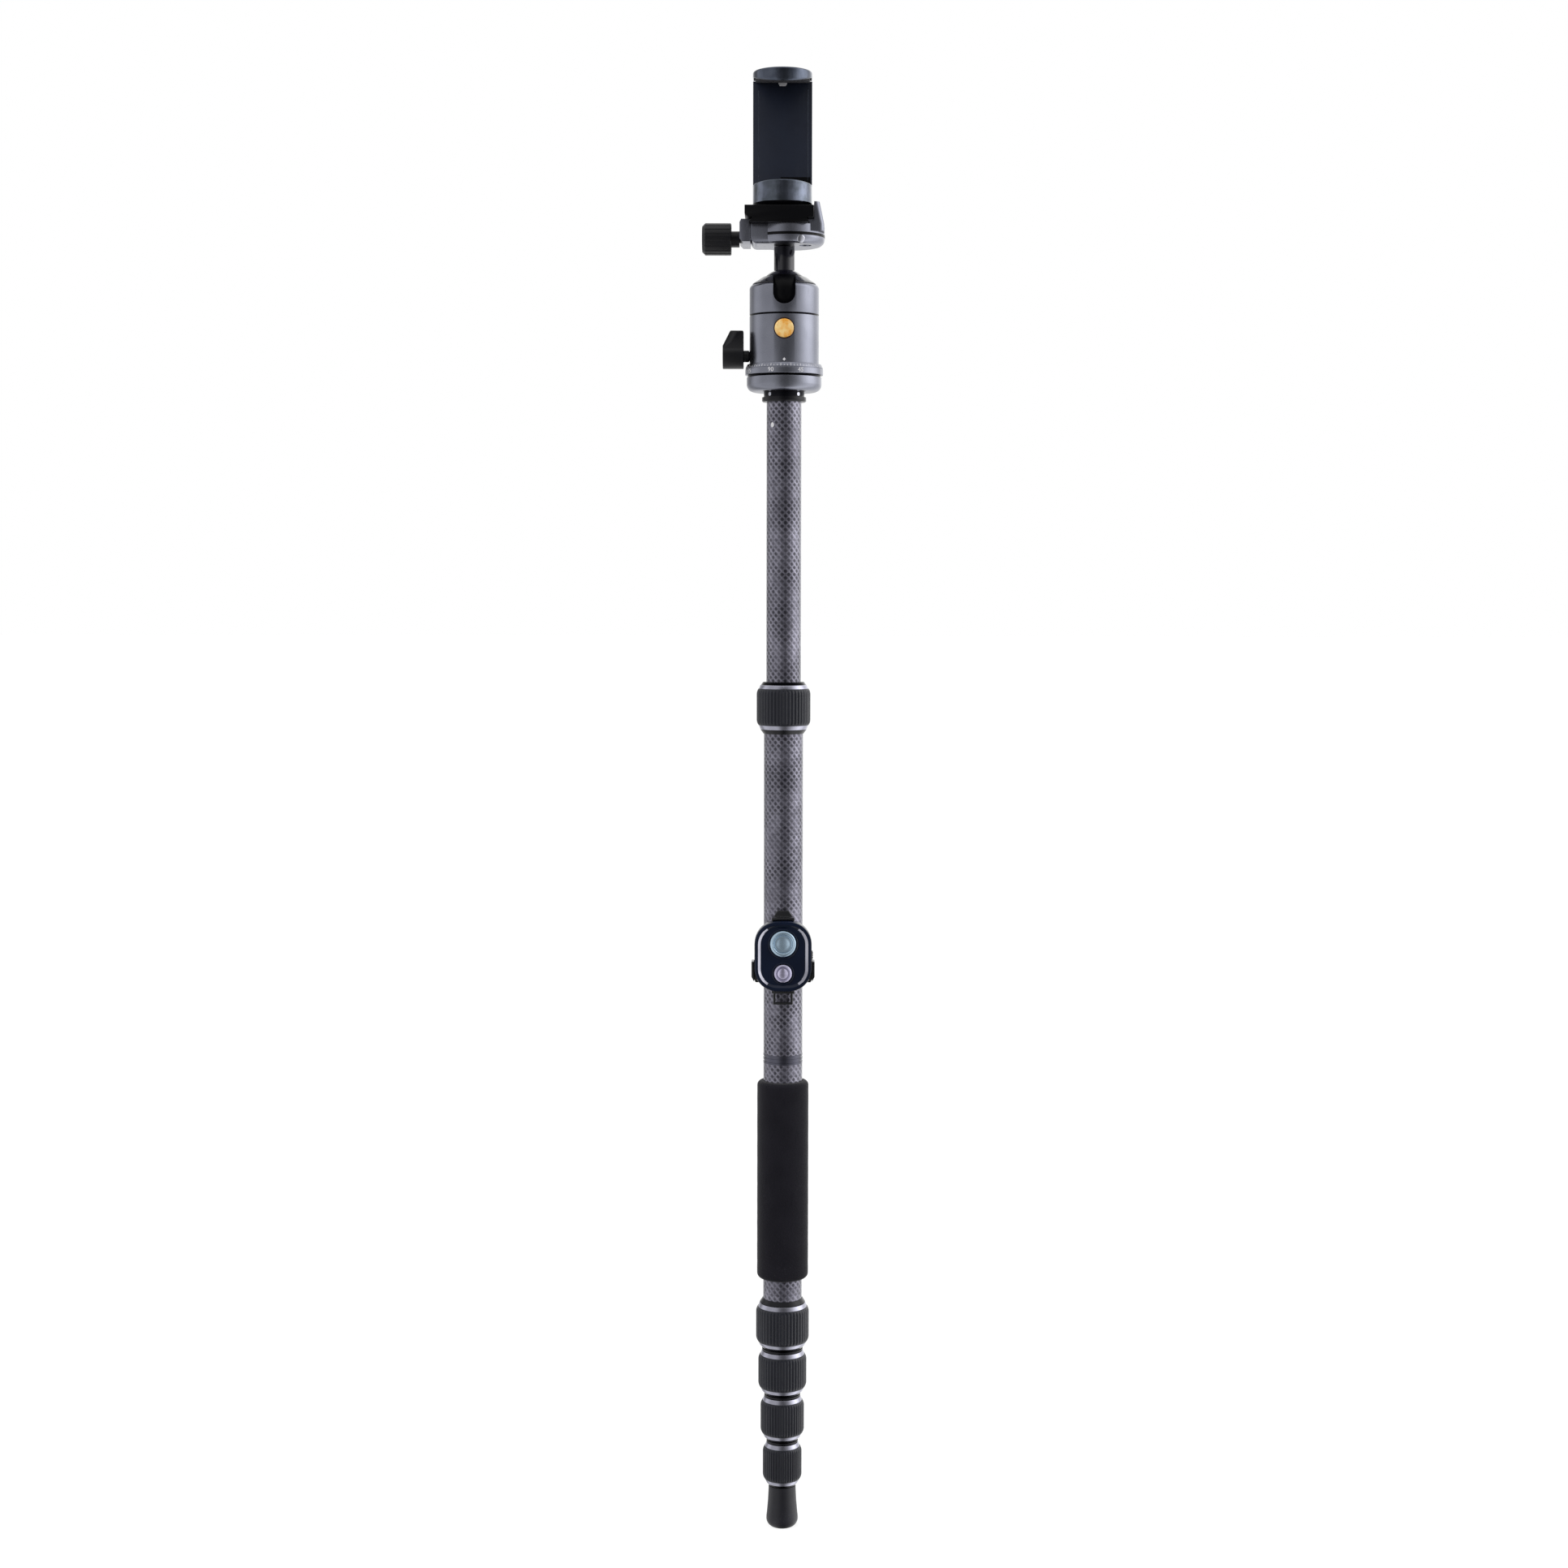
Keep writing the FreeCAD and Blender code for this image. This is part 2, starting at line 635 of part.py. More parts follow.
def head_high():
    """Height of the housing's upper edge."""
    return head_low() + size("head_height")


def ball_height():
    """Height of the ball's centre."""
    return head_high() - size("ball_drop")


def ball_radius():
    """Radius of the ball, inside the housing's wall."""
    return size("head_width") / 2 - size("head_wall") - size("ball_cavity_gap")


def ring_radius():
    """Radius of the degree ring, round the housing."""
    return size("head_width") / 2 + size("clear_gap") + size("scale_wall")


def clamp_low():
    """Height of the clamp's underside."""
    return ball_height() + size("stem_height") + size("clear_gap")


def clamp_high():
    """Height of the clamp's upper face."""
    return clamp_low() + size("clamp_height")


def dovetail_low():
    """Height of the quick release plate's underside."""
    return clamp_high() + size("clear_gap")


def neck_high():
    """Height at which the plate's upper body begins."""
    return dovetail_low() + size("dovetail_edge") + size("dovetail_slope")


def holder_low():
    """Height of the plate's upper face, on which the phone holder stands."""
    return neck_high() + size("plate_top")


def jaw_floor():
    """Height of the phone holder's lower jaw's upper face."""
    return holder_low() + size("lower_jaw_height")


def jaw_ceiling():
    """Height of the phone holder's upper jaw's underside."""
    return jaw_floor() + size("phone_gap")


def leg_section(number):
    """A leg tube, and on an inner one its two guide bushes."""
    radius = tube_radius(number)
    name = f"leg_tube_{number}"
    if number == TUBES:
        low = size("plug_low") + size("plug_flange") + size("glue_gap")
    else:
        low = nut_low(number) + tube_end_in_lock()
    if number == 1:
        high = joint_low()
    else:
        spigot_end = joint_low() - size("joint_spigot")
        high = spigot_end - size("tube_stagger") * (number - 1)
    inner = radius - size("tube_wall")
    if number == 1:
        return keep(pipe("leg_tube_1_shell", radius, inner, high - low, z=low), name)
    shell = pipe(f"{name}_shell", radius, inner, high - low, z=low)
    guide = tube_radius(number - 1) - size("tube_wall") - size("run_gap")
    return group(name, [shell] + bushes(name, radius, guide, high - size("bush_height"), -1))


def bushes(name, radius, guide, start, direction):
    """The two guide bushes at the hidden end of a tube."""
    made = []
    for number in range(2):
        low = start + size("bush_spacing") * (number * direction)
        inner = radius + size("glue_gap")
        made.append(pipe(f"{name}_bush_{number + 1}", guide, inner, size("bush_height"), z=low))
    return made


def lock_place(body, number):
    """Stand a lock piece at its lock. The column's lock is upside down."""
    if number == 0:
        place(body, z=column_lock_top(), turn=UPSIDE_DOWN)
    else:
        place(body, z=nut_low(number))
    return body


def lock_name(number, word):
    """Name of a lock piece."""
    if number == 0:
        return f"column_lock_{word}"
    return f"leg_lock_{word}_{number}"


def lock_sleeve(number, tube):
    """The sleeve bonded to the outer tube's end, with its threaded neck and visible collar."""
    ledge = tube - size("tube_step") / 2 + size("run_gap") + size("collet_wall") + size("thread_gap")
    bore = tube + size("glue_gap")
    neck = tube + size("neck_swell")
    mouth = tube + size("collet_swell")
    neck_low = size("lip_height") + size("clear_gap") * 2 + size("collet_skirt") + size("thread_gap")
    tube_end = tube_end_in_lock() - size("glue_gap")
    collar_low = nut_height(number) + size("clear_gap")
    if number < 2:
        wide = tube + size("seat_base")
        narrow = tube + size("seat_taper")
    else:
        wide = tube + size("seat_swell")
        narrow = wide
    body = turned(lock_name(number, "sleeve"), [
        (mouth, neck_low),
        (neck, neck_low),
        (neck, collar_low),
        (wide, collar_low),
        (narrow, lock_height(number)),
        (bore, lock_height(number)),
        (bore, tube_end),
        (ledge, tube_end),
        (ledge, neck_low + mouth - ledge),
    ])
    return lock_place(body, number)


def lock_collet(number, tube):
    """The split collet that the nut squeezes on the inner tube."""
    inner = tube - size("tube_step") / 2 + size("run_gap")
    outer = inner + size("collet_wall")
    wide = tube + size("collet_swell")
    low = size("lip_height") + size("clear_gap")
    skirt = low + size("collet_skirt")
    name = lock_name(number, "collet")
    body = turned(name, [
        (inner, low),
        (wide, low),
        (wide, skirt),
        (outer, skirt + wide - outer),
        (outer, low + size("collet_height")),
        (inner, low + size("collet_height")),
    ])
    slot = new_sketch(body, f"{name}_slot_outline")
    half = size("collet_slot") / 2
    add_rectangle(slot, inner - 1, wide + 1, -half, half)
    pocket(body, f"{name}_slot", slot, low + size("collet_height") + 1, ahead=True)
    return lock_place(body, number)


def lock_nut(number, tube):
    """The nut: dark lip, two bright bands and the wall that carries the rubber."""
    inner = tube - size("tube_step") / 2 + size("clear_gap")
    bore = tube + size("neck_swell") + size("thread_gap")
    lip = tube + size("lip_swell")
    band = tube + size("ring_swell")
    wall = tube + size("nut_recess")
    band_low = size("lip_height")
    grip_low = band_low + size("lip_ring_height")
    grip_high = grip_low + lock_grip(number)
    band_end = band - size("ring_fall")
    body = turned(lock_name(number, "nut"), [
        (inner, 0),
        (lip - size("lip_bevel"), 0),
        (lip, band_low),
        (band_end, band_low),
        (band, grip_low),
        (wall, grip_low),
        (wall, grip_high),
        (band, grip_high),
        (band_end, nut_height(number)),
        (bore, nut_height(number)),
        (bore, band_low),
        (inner, band_low),
    ])
    return lock_place(body, number)


def lock_grip_ring(number, tube):
    """The ribbed rubber ring on a lock nut."""
    name = lock_name(number, "grip")
    wall = tube + size("nut_recess") + size("glue_gap")
    edge = tube + size("grip_end")
    swell = tube + size("grip_swell")
    low = size("lip_height") + size("lip_ring_height") + size("glue_gap")
    high = low + lock_grip(number) - size("glue_gap") * 2
    body = turned(name, [
        (wall, low),
        (edge, low, size("grip_arc"), "left"),
        (swell, low + size("grip_round")),
        (swell, high - size("grip_round"), size("grip_arc"), "left"),
        (edge, high),
        (wall, high),
    ])
    rib = new_sketch(body, f"{name}_rib_outline")
    add_circle(rib, swell, 0, size("rib_radius"))
    groove = pocket(body, f"{name}_rib", rib, high + 1, ahead=True)
    ring_of(body, f"{name}_ribs", groove, size("rib_count"))
    return lock_place(body, number)


def twist_lock(number, tube):
    """One whole twist lock."""
    lock_sleeve(number, tube)
    lock_collet(number, tube)
    lock_nut(number, tube)
    lock_grip_ring(number, tube)


def foot():
    """The rubber foot and the plug that carries it in the lowest tube."""
    tube = tube_radius(TUBES)
    socket = tube + size("glue_gap")
    flange = tube - size("glue_gap")
    inside = tube - size("tube_wall") - size("glue_gap")
    stud = size("foot_stud_width") / 2
    plug_low = size("plug_low")
    plug_top = plug_low + size("plug_flange")
    turned("rubber_foot", [
        (0, 0),
        (size("sole_width") / 2, 0, size("foot_arc"), "left"),
        (size("foot_width") / 2, size("foot_round")),
        (size("foot_top_width") / 2, size("foot_height")),
        (socket, size("foot_height")),
        (socket, plug_low),
        (stud + size("glue_gap"), plug_low),
        (stud + size("glue_gap"), size("foot_stud_low")),
        (0, size("foot_stud_low")),
    ])
    turned("foot_plug", [
        (0, size("foot_stud_low") + size("glue_gap")),
        (stud, size("foot_stud_low") + size("glue_gap")),
        (stud, plug_low + size("glue_gap")),
        (flange, plug_low + size("glue_gap")),
        (flange, plug_top),
        (inside, plug_top),
        (inside, plug_top + size("plug_length")),
        (0, plug_top + size("plug_length")),
    ])


def foam_grip():
    """The foam sleeve on the leg's top tube."""
    inner = tube_radius(1) + size("glue_gap")
    outer = size("foam_width") / 2
    bend = size("foam_round")
    low = foam_low()
    high = low + size("foam_length")
    turned("foam_grip", [
        (inner, low),
        (outer - bend, low, bend, "left"),
        (outer, low + bend),
        (outer, high - bend, bend, "left"),
        (outer - bend, high),
        (inner, high),
    ])


def column_joint():
    """The dark ring that joins the leg to the column, with a spigot in each."""
    ring = size("joint_width") / 2
    groove = ring - size("joint_groove")
    spigot = tube_radius(1) - size("tube_wall") - size("glue_gap")
    low = joint_low() + size("glue_gap")
    high = joint_high() - size("glue_gap")
    band = size("joint_height") / 5
    turned("column_joint", [
        (0, low - size("joint_spigot")),
        (spigot, low - size("joint_spigot")),
        (spigot, low),
        (ring, low),
        (ring, low + band),
        (groove, low + band),
        (groove, low + band * 2),
        (ring, low + band * 2),
        (ring, low + band * 3),
        (groove, low + band * 3),
        (groove, low + band * 4),
        (ring, low + band * 4),
        (ring, high),
        (spigot, high),
        (spigot, high + size("joint_spigot")),
        (0, high + size("joint_spigot")),
    ])


def column_tubes():
    """The column's lower tube, and its upper tube with two guide bushes."""
    lower = tube_radius(1)
    upper = tube_radius(2)
    wall = size("tube_wall")
    low = joint_high()
    high = column_lock_top() - tube_end_in_lock()
    keep(pipe("column_lower_shell", lower, lower - wall, high - low, z=low), "column_lower_tube")
    low = column_lock_top() - size("column_inner")
    shell = pipe("column_upper_shell", upper, upper - wall, plate_low() - low, z=low)
    guide = lower - wall - size("run_gap")
    group("column_upper_tube", [shell] + bushes("column_upper_tube", upper, guide, low, 1))


def top_plate():
    """The column's top plate with its stud and the set screws in its neck."""
    spigot = tube_radius(2) - size("tube_wall") - size("glue_gap")
    flange = size("plate_flange_width") / 2
    neck = size("plate_neck_width") / 2
    stud = size("stud_width") / 2
    low = plate_low() + size("glue_gap")
    flange_high = plate_low() + size("plate_flange")
    neck_high_end = base_low() - size("glue_gap")
    body = turned("column_top_plate", [
        (0, low - size("plate_spigot")),
        (spigot, low - size("plate_spigot")),
        (spigot, low),
        (flange - size("clear_gap") * 2, low),
        (flange, low + size("clear_gap") * 2),
        (flange, flange_high),
        (neck, flange_high),
        (neck, neck_high_end),
        (stud, neck_high_end),
        (stud, neck_high_end + size("stud_length")),
        (0, neck_high_end + size("stud_length")),
    ])
    middle = (flange_high + neck_high_end) / 2
    start = neck - size("grub_length")
    hole = new_sketch(body, "grub_hole_outline", "XZ_Plane", start)
    add_circle(hole, 0, middle, size("grub_width") / 2 + size("glue_gap"))
    drilled = pocket(body, "grub_hole", hole, size("grub_length") + 1, ahead=True)
    ring_of(body, "grub_holes", drilled, size("grub_count"))
    quarter_turn = FreeCAD.Rotation(FreeCAD.Vector(0, 0, 1), 45)
    body.Placement = FreeCAD.Placement(FreeCAD.Vector(0, 0, 0), quarter_turn)
    set_screws(middle, start + size("glue_gap"))


def set_screws(height, start):
    """The set screws that lock the head on the column."""
    screws = []
    count = int(SIZES["grub_count"][0])
    length = size("grub_length") - size("glue_gap") * 2
    for number in range(count):
        angle = 45 + 360 / count * number
        turn = FreeCAD.Rotation(FreeCAD.Vector(0, 0, 1), angle).multiply(FACING_FRONT)
        x = start * math.sin(math.radians(angle))
        y = start * -math.cos(math.radians(angle))
        screws.append(rod(f"grub_{number + 1}", size("grub_width") / 2, length, x, y, height, turn))
    group("top_plate_set_screws", screws)


def pan_base():
    """The fixed base of the head with its spindle, and the degree ring round it."""
    outer = ring_radius() - size("base_inset")
    sole = outer - size("base_sole_inset")
    seam = outer - size("gap_inset")
    spindle = size("spindle_width") / 2
    bore = size("stud_width") / 2 + size("glue_gap")
    low = base_low()
    bore_top = low + size("stud_length") + size("clear_gap")
    top = seam_high() + size("spindle_height")
    axis = head_low() + size("pan_axis")
    depth = size("spindle_groove")
    turned("pan_base", [
        (bore, low),
        (sole, low, size("base_round"), "left"),
        (outer, low + size("base_round")),
        (outer, seam_low()),
        (seam, seam_low()),
        (seam, seam_high()),
        (spindle, seam_high()),
        (spindle, axis - depth * 2),
        (spindle - depth, axis - depth),
        (spindle - depth, axis + depth),
        (spindle, axis + depth * 2),
        (spindle, top),
        (0, top),
        (0, bore_top),
        (bore, bore_top),
    ])
    inner = size("head_width") / 2 + size("clear_gap")
    ring = ring_radius()
    ring_low = seam_high() + size("glue_gap")
    ring_high = seam_high() + size("scale_height")
    bevel = size("scale_bevel")
    turned("scale_ring", [
        (inner, ring_low),
        (ring, ring_low),
        (ring, ring_high - bevel),
        (ring - bevel, ring_high),
        (inner, ring_high),
    ])


def notch_cut(body, name):
    """Cut the drop notch through the front of a piece of the head."""
    half = size("stem_width") / 2 + size("notch_gap")
    centre = ball_height()
    above = centre + ball_radius() * 2
    sketch = new_sketch(body, f"{name}_outline", "XZ_Plane")
    add_outline(sketch, [
        (half, centre),
        (half, above),
        (-half, above),
        (-half, centre, half, "left"),
        (0, centre - half, half, "left"),
    ])
    return pocket(body, name, sketch, size("head_width"), ahead=True)


def head_housing():
    """The turning housing with the ball's cavity, the notch and the bores for its screws."""
    outer = size("head_width") / 2
    groove = outer - size("head_line_depth")
    shoulder = size("head_round")
    line_high = head_high() - size("head_line")
    line_low = line_high - size("head_line_width")
    cavity = ball_radius() + size("ball_cavity_gap")
    floor = ball_height() - size("cup_floor") - size("clear_gap")
    bore = size("spindle_width") / 2 + size("run_gap")
    bore_top = seam_high() + size("spindle_height") + size("clear_gap")
    body = turned("head_housing", [
        (bore, head_low()),
        (outer, head_low()),
        (outer, line_low),
        (groove, line_low),
        (groove, line_high),
        (outer, line_high),
        (outer, head_high() - shoulder, shoulder, "left"),
        (outer - shoulder, head_high()),
        (cavity, head_high()),
        (cavity, floor),
        (0, floor),
        (0, bore_top),
        (bore, bore_top),
    ])
    notch_cut(body, "head_notch")
    seat = new_sketch(body, "cap_seat_outline", "XZ_Plane", outer - size("cap_depth"))
    add_circle(seat, 0, ball_height() - size("cap_height"), size("cap_width") / 2 + size("clear_gap"))
    pocket(body, "cap_seat", seat, size("cap_depth") + 1, ahead=True)
    lock_bore = new_sketch(body, "lock_bore_outline", "XZ_Plane", -cavity * 0.5)
    lock_radius = size("lock_shaft_width") / 2 + size("run_gap")
    add_circle(lock_bore, 0, ball_height() - size("lock_drop"), lock_radius)
    pocket(body, "lock_bore", lock_bore, outer)
    pan_bore = new_sketch(body, "pan_bore_outline", "YZ_Plane", -bore * 0.5)
    pan_radius = size("pan_shaft_width") / 2 + size("run_gap")
    add_circle(pan_bore, 0, head_low() + size("pan_axis"), pan_radius)
    pocket(body, "pan_bore", pan_bore, outer)


def ball_parts():
    """The ball on its stem, the cup under it and the black collar over it."""
    ball = ball_radius()
    stem = size("stem_width") / 2
    pin = size("pin_width") / 2
    head = size("pin_head_width") / 2
    centre = ball_height()
    shoulder = centre + size("stem_height")
    pin_top = shoulder + size("clear_gap") * 2 + size("pin_height")
    head_top = pin_top + size("pin_head_height")
    turned("ball_stem", [
        (0, centre - ball, ball, "left"),
        (ball, centre, ball, "left"),
        (stem, centre + reach(ball, stem)),
        (stem, shoulder),
        (pin, shoulder),
        (pin, pin_top),
        (head, pin_top),
        (head, head_top),
        (0, head_top),
    ])
    seat = ball + size("run_gap") * 2
    cavity = ball + size("ball_cavity_gap") - size("glue_gap")
    low = centre - size("cup_floor") + size("glue_gap")
    high = low + size("cup_height")
    cup = turned("ball_cup", [
        (0, low),
        (cavity, low),
        (cavity, high),
        (reach(seat, centre - high), high, seat, "right"),
        (0, centre - seat),
    ])
    bore = new_sketch(cup, "cup_bore_outline", "XZ_Plane", -size("lock_shaft_width") / 2)
    add_circle(bore, 0, centre - size("lock_drop"), size("lock_shaft_width") / 2 + size("clear_gap"))
    pocket(cup, "cup_bore", bore, cavity)
    mouth = size("collar_mouth") / 2
    brim = size("head_width") / 2 - size("collar_inset")
    skirt_low = head_high() - size("collar_skirt")
    opening = centre + reach(seat, mouth)
    brim_low = head_high() + size("glue_gap")
    collar = turned("ball_collar", [
        (reach(seat, skirt_low - centre), skirt_low, seat, "left"),
        (mouth, opening),
        (mouth + size("clear_gap") * 3, opening + size("collar_lip")),
        (brim, brim_low + size("clear_gap") * 2),
        (brim, brim_low),
        (cavity, brim_low),
        (cavity, skirt_low),
    ])
    notch_cut(collar, "collar_notch")


def tension_cap():
    """The orange cap on the housing's front."""
    radius = size("cap_width") / 2
    depth = size("cap_depth") + size("cap_proud") - size("glue_gap")
    bevel = size("cap_proud")
    body = turned("tension_cap", [
        (0, 0),
        (radius, 0),
        (radius, depth - bevel),
        (radius - bevel, depth),
        (0, depth),
    ])
    back = size("head_width") / 2 - size("cap_depth") + size("glue_gap")
    place(body, y=-back, z=ball_height() - size("cap_height"), turn=FACING_FRONT)


def pan_knob():
    """The wing knob that locks the pan, with its screw."""
    shaft = size("pan_shaft_width") / 2
    neck = size("pan_neck_width") / 2
    hub = size("pan_hub_width") / 2
    start = ring_radius() + size("pan_hub_gap")
    spindle = size("spindle_width") / 2
    tip = spindle - size("spindle_groove") + size("clear_gap")
    cone = tip + shaft
    neck_start = size("head_width") / 2 + size("clear_gap")
    length = size("pan_hub_length")
    body = turned("pan_knob", [
        (0, tip - start),
        (size("spindle_groove"), tip - start),
        (shaft, cone - start),
        (shaft, neck_start - start),
        (neck, neck_start - start),
        (neck, 0),
        (hub, 0),
        (hub, length),
        (0, length),
    ])
    wing = new_sketch(body, "pan_wing_outline")
    add_outline(wing, [
        (0, -size("pan_wing_root")),
        (size("pan_wing_reach"), -size("pan_wing_tip")),
        (size("pan_wing_reach"), size("pan_wing_tip")),
        (0, size("pan_wing_root")),
    ])
    pad(body, "pan_wing", wing, length)
    slope = new_sketch(body, "pan_slope_outline", "XZ_Plane", -hub - 1)
    top = size("pan_wing_reach")
    add_outline(slope, [
        (top - size("pan_wing_fall"), length),
        (top, length - size("pan_wing_slope")),
        (top + 1, length - size("pan_wing_slope")),
        (top + 1, length + 1),
        (top - size("pan_wing_fall"), length + 1),
    ])
    pocket(body, "pan_slope", slope, hub * 2 + 2, ahead=True)
    soften(body, "pan_knob_edges", size("wing_round"), lambda edge: lies_at(edge, "X", top))
    place(body, x=-start, z=head_low() + size("pan_axis"), turn=FACING_LEFT)


def lock_knob():
    """The fluted knob at the back that squeezes the cup on the ball."""
    shaft = size("lock_shaft_width") / 2
    neck = size("lock_neck_width") / 2
    hub = size("lock_hub_width") / 2
    start = size("head_width") / 2 + size("lock_hub_gap")
    tip = shaft + size("clear_gap")
    neck_start = size("head_width") / 2 + size("clear_gap")
    length = size("lock_hub_length")
    bevel = size("knob_bevel")
    body = turned("lock_knob", [
        (0, tip - start),
        (shaft / 2, tip - start),
        (shaft, tip + shaft / 2 - start),
        (shaft, neck_start - start),
        (neck, neck_start - start),
        (neck, 0),
        (hub - bevel / 2, 0),
        (hub, bevel / 2),
        (hub, length - bevel),
        (hub - bevel, length),
        (0, length),
    ])
    flute = new_sketch(body, "lock_flute_outline")
    add_circle(flute, hub + size("lock_flute_radius") / 2, 0, size("lock_flute_radius"))
    groove = pocket(body, "lock_flute", flute, length + 1, ahead=True)
    ring_of(body, "lock_flutes", groove, size("lock_flute_count"))
    place(body, y=start, z=ball_height() - size("lock_drop"), turn=FACING_BACK)


def dovetail_right():
    """Right edge of the plate's dovetail foot."""
    return size("dovetail_shift") + size("dovetail_width") / 2


def dovetail_left():
    """Left edge of the plate's dovetail foot."""
    return size("dovetail_shift") - size("dovetail_width") / 2


def plate_right():
    """Right side of the plate's upper body."""
    return size("dovetail_shift") + size("plate_width") / 2


def clamp_body():
    """The clamp's body with its fixed jaw and the bores for the stem's pin and the screw."""
    low = clamp_low()
    high = clamp_high()
    half = size("clamp_depth") / 2
    body = new_body("clamp_body")
    disc = new_sketch(body, "clamp_disc_outline", offset=low)
    add_circle(disc, size("clamp_disc_shift"), 0, size("clamp_disc_width") / 2)
    pad(body, "clamp_disc", disc, size("clamp_height"))
    block = new_sketch(body, "clamp_block_outline", offset=low)
    add_rectangle(block, -size("clamp_left"), size("clamp_disc_shift"), -half, half)
    pad(body, "clamp_block", block, size("clamp_height"))
    soften(body, "clamp_underside", size("clamp_round"),
           lambda edge: lies_at(edge, "Z", low))
    fixed_jaw(body, half)
    pin = new_sketch(body, "clamp_pin_outline", offset=low)
    add_circle(pin, 0, 0, size("pin_width") / 2 + size("run_gap"))
    pocket(body, "clamp_pin_bore", pin, size("clamp_height") + 1, ahead=True)
    pin_head = new_sketch(body, "clamp_head_outline", offset=high)
    add_circle(pin_head, 0, 0, size("pin_head_width") / 2 + size("clear_gap"))
    head_low_end = low + size("pin_height")
    pocket(body, "clamp_head_bore", pin_head, high - head_low_end)
    side_bore(body, "clamp_screw", 0, size("clamp_screw_width"), size("clamp_screw_reach"))
    pin_end = size("clamp_left") - size("jaw_pin_length")
    for number, side in enumerate((-1, 1), start=1):
        spread = size("jaw_pin_spread") * side
        side_bore(body, f"jaw_pin_{number}", spread, size("jaw_pin_width"), pin_end)
    recess = new_sketch(body, "clamp_recess_outline", offset=low)
    add_circle(recess, size("stem_width"), -size("stem_width") / 2, size("recess_width") / 2)
    pocket(body, "clamp_recess", recess, size("recess_depth"), ahead=True)


def side_bore(body, name, y, width, end):
    """A bore into the clamp's left face, for the screw or a guide pin of the moving jaw."""
    sketch = new_sketch(body, f"{name}_bore_outline", "YZ_Plane", -end + size("clear_gap"))
    height = clamp_high() - size("clamp_bore_drop")
    add_circle(sketch, y, height, width / 2 + size("run_gap"))
    pocket(body, f"{name}_bore", sketch, size("clamp_left"))


def fixed_jaw(body, half):
    """The right jaw: a lip over the dovetail's foot and a fence beside the plate."""
    gap = size("clear_gap")
    high = clamp_high()
    inner = dovetail_right() + gap
    edge_top = dovetail_low() + size("dovetail_edge")
    lip_top = neck_high() - gap
    fence = plate_right() + gap
    fence_top = high + size("fence_height")
    sketch = new_sketch(body, "fixed_jaw_outline", "XZ_Plane", -half)
    add_outline(sketch, [
        (inner, high - size("clamp_round")),
        (fence + size("fence_base"), high - size("clamp_round")),
        (fence + size("fence_base"), high),
        (fence + size("fence_top"), fence_top),
        (fence, fence_top),
        (fence, lip_top),
        (inner + edge_top - lip_top, lip_top),
        (inner, edge_top),
    ])
    pad(body, "fixed_jaw", sketch, half * 2)


def clamp_jaw():
    """The moving jaw with its lip and two guide pins."""
    gap = size("clear_gap")
    half = size("clamp_depth") / 2
    high = clamp_high()
    face = -size("clamp_left") - gap
    inner = dovetail_left() - gap
    outer = face - size("jaw_thickness")
    edge_top = dovetail_low() + size("dovetail_edge")
    lip_top = neck_high() - gap
    low = clamp_low() + size("knob_bevel") / 2
    bevel = size("knob_bevel")
    body = new_body("clamp_jaw")
    sketch = new_sketch(body, "clamp_jaw_outline", "XZ_Plane", -half)
    add_outline(sketch, [
        (outer + bevel, low),
        (face, low),
        (face, high),
        (inner, high),
        (inner, edge_top),
        (inner + lip_top - edge_top, lip_top),
        (outer + bevel / 2, lip_top),
        (outer, lip_top - bevel),
        (outer, low + bevel),
    ])
    pad(body, "clamp_jaw_block", sketch, half * 2)
    height = high - size("clamp_bore_drop")
    for number, side in enumerate((-1, 1), start=1):
        pin = new_sketch(body, f"guide_pin_{number}_outline", "YZ_Plane", face - 1)
        add_circle(pin, size("jaw_pin_spread") * side, height, size("jaw_pin_width") / 2)
        pad(body, f"guide_pin_{number}", pin, size("jaw_pin_length") + 1)
    hole = new_sketch(body, "jaw_hole_outline", "YZ_Plane", face + 1)
    add_circle(hole, 0, height, size("clamp_screw_width") / 2 + size("run_gap"))
    pocket(body, "jaw_hole", hole, size("jaw_thickness") + 2)


def clamp_knob():
    """The clamp's knob with its neck and screw."""
    screw = size("clamp_screw_width") / 2
    neck = size("knob_neck_width") / 2
    knob = size("knob_width") / 2
    bevel = size("knob_bevel")
    length = size("knob_length")
    jaw_face = size("clamp_left") + size("clear_gap") + size("jaw_thickness")
    start = jaw_face + size("clear_gap")
    neck_end = size("knob_neck_length")
    body = turned("clamp_knob", [
        (0, size("clamp_screw_reach") - start),
        (screw, size("clamp_screw_reach") - start),
        (screw, 0),
        (neck, 0),
        (neck, neck_end),
        (knob - bevel / 4, neck_end),
        (knob, neck_end + bevel / 4),
        (knob, neck_end + length - bevel),
        (knob - bevel, neck_end + length),
        (0, neck_end + length),
    ])
    flute = new_sketch(body, "knob_flute_outline", offset=neck_end - 1)
    add_circle(flute, knob + size("knob_flute_radius") / 2, 0, size("knob_flute_radius"))
    groove = pocket(body, "knob_flute", flute, length + 2, ahead=True)
    ring_of(body, "knob_flutes", groove, size("knob_flute_count"))
    place(body, x=-start, z=clamp_high() - size("clamp_bore_drop"), turn=FACING_LEFT)


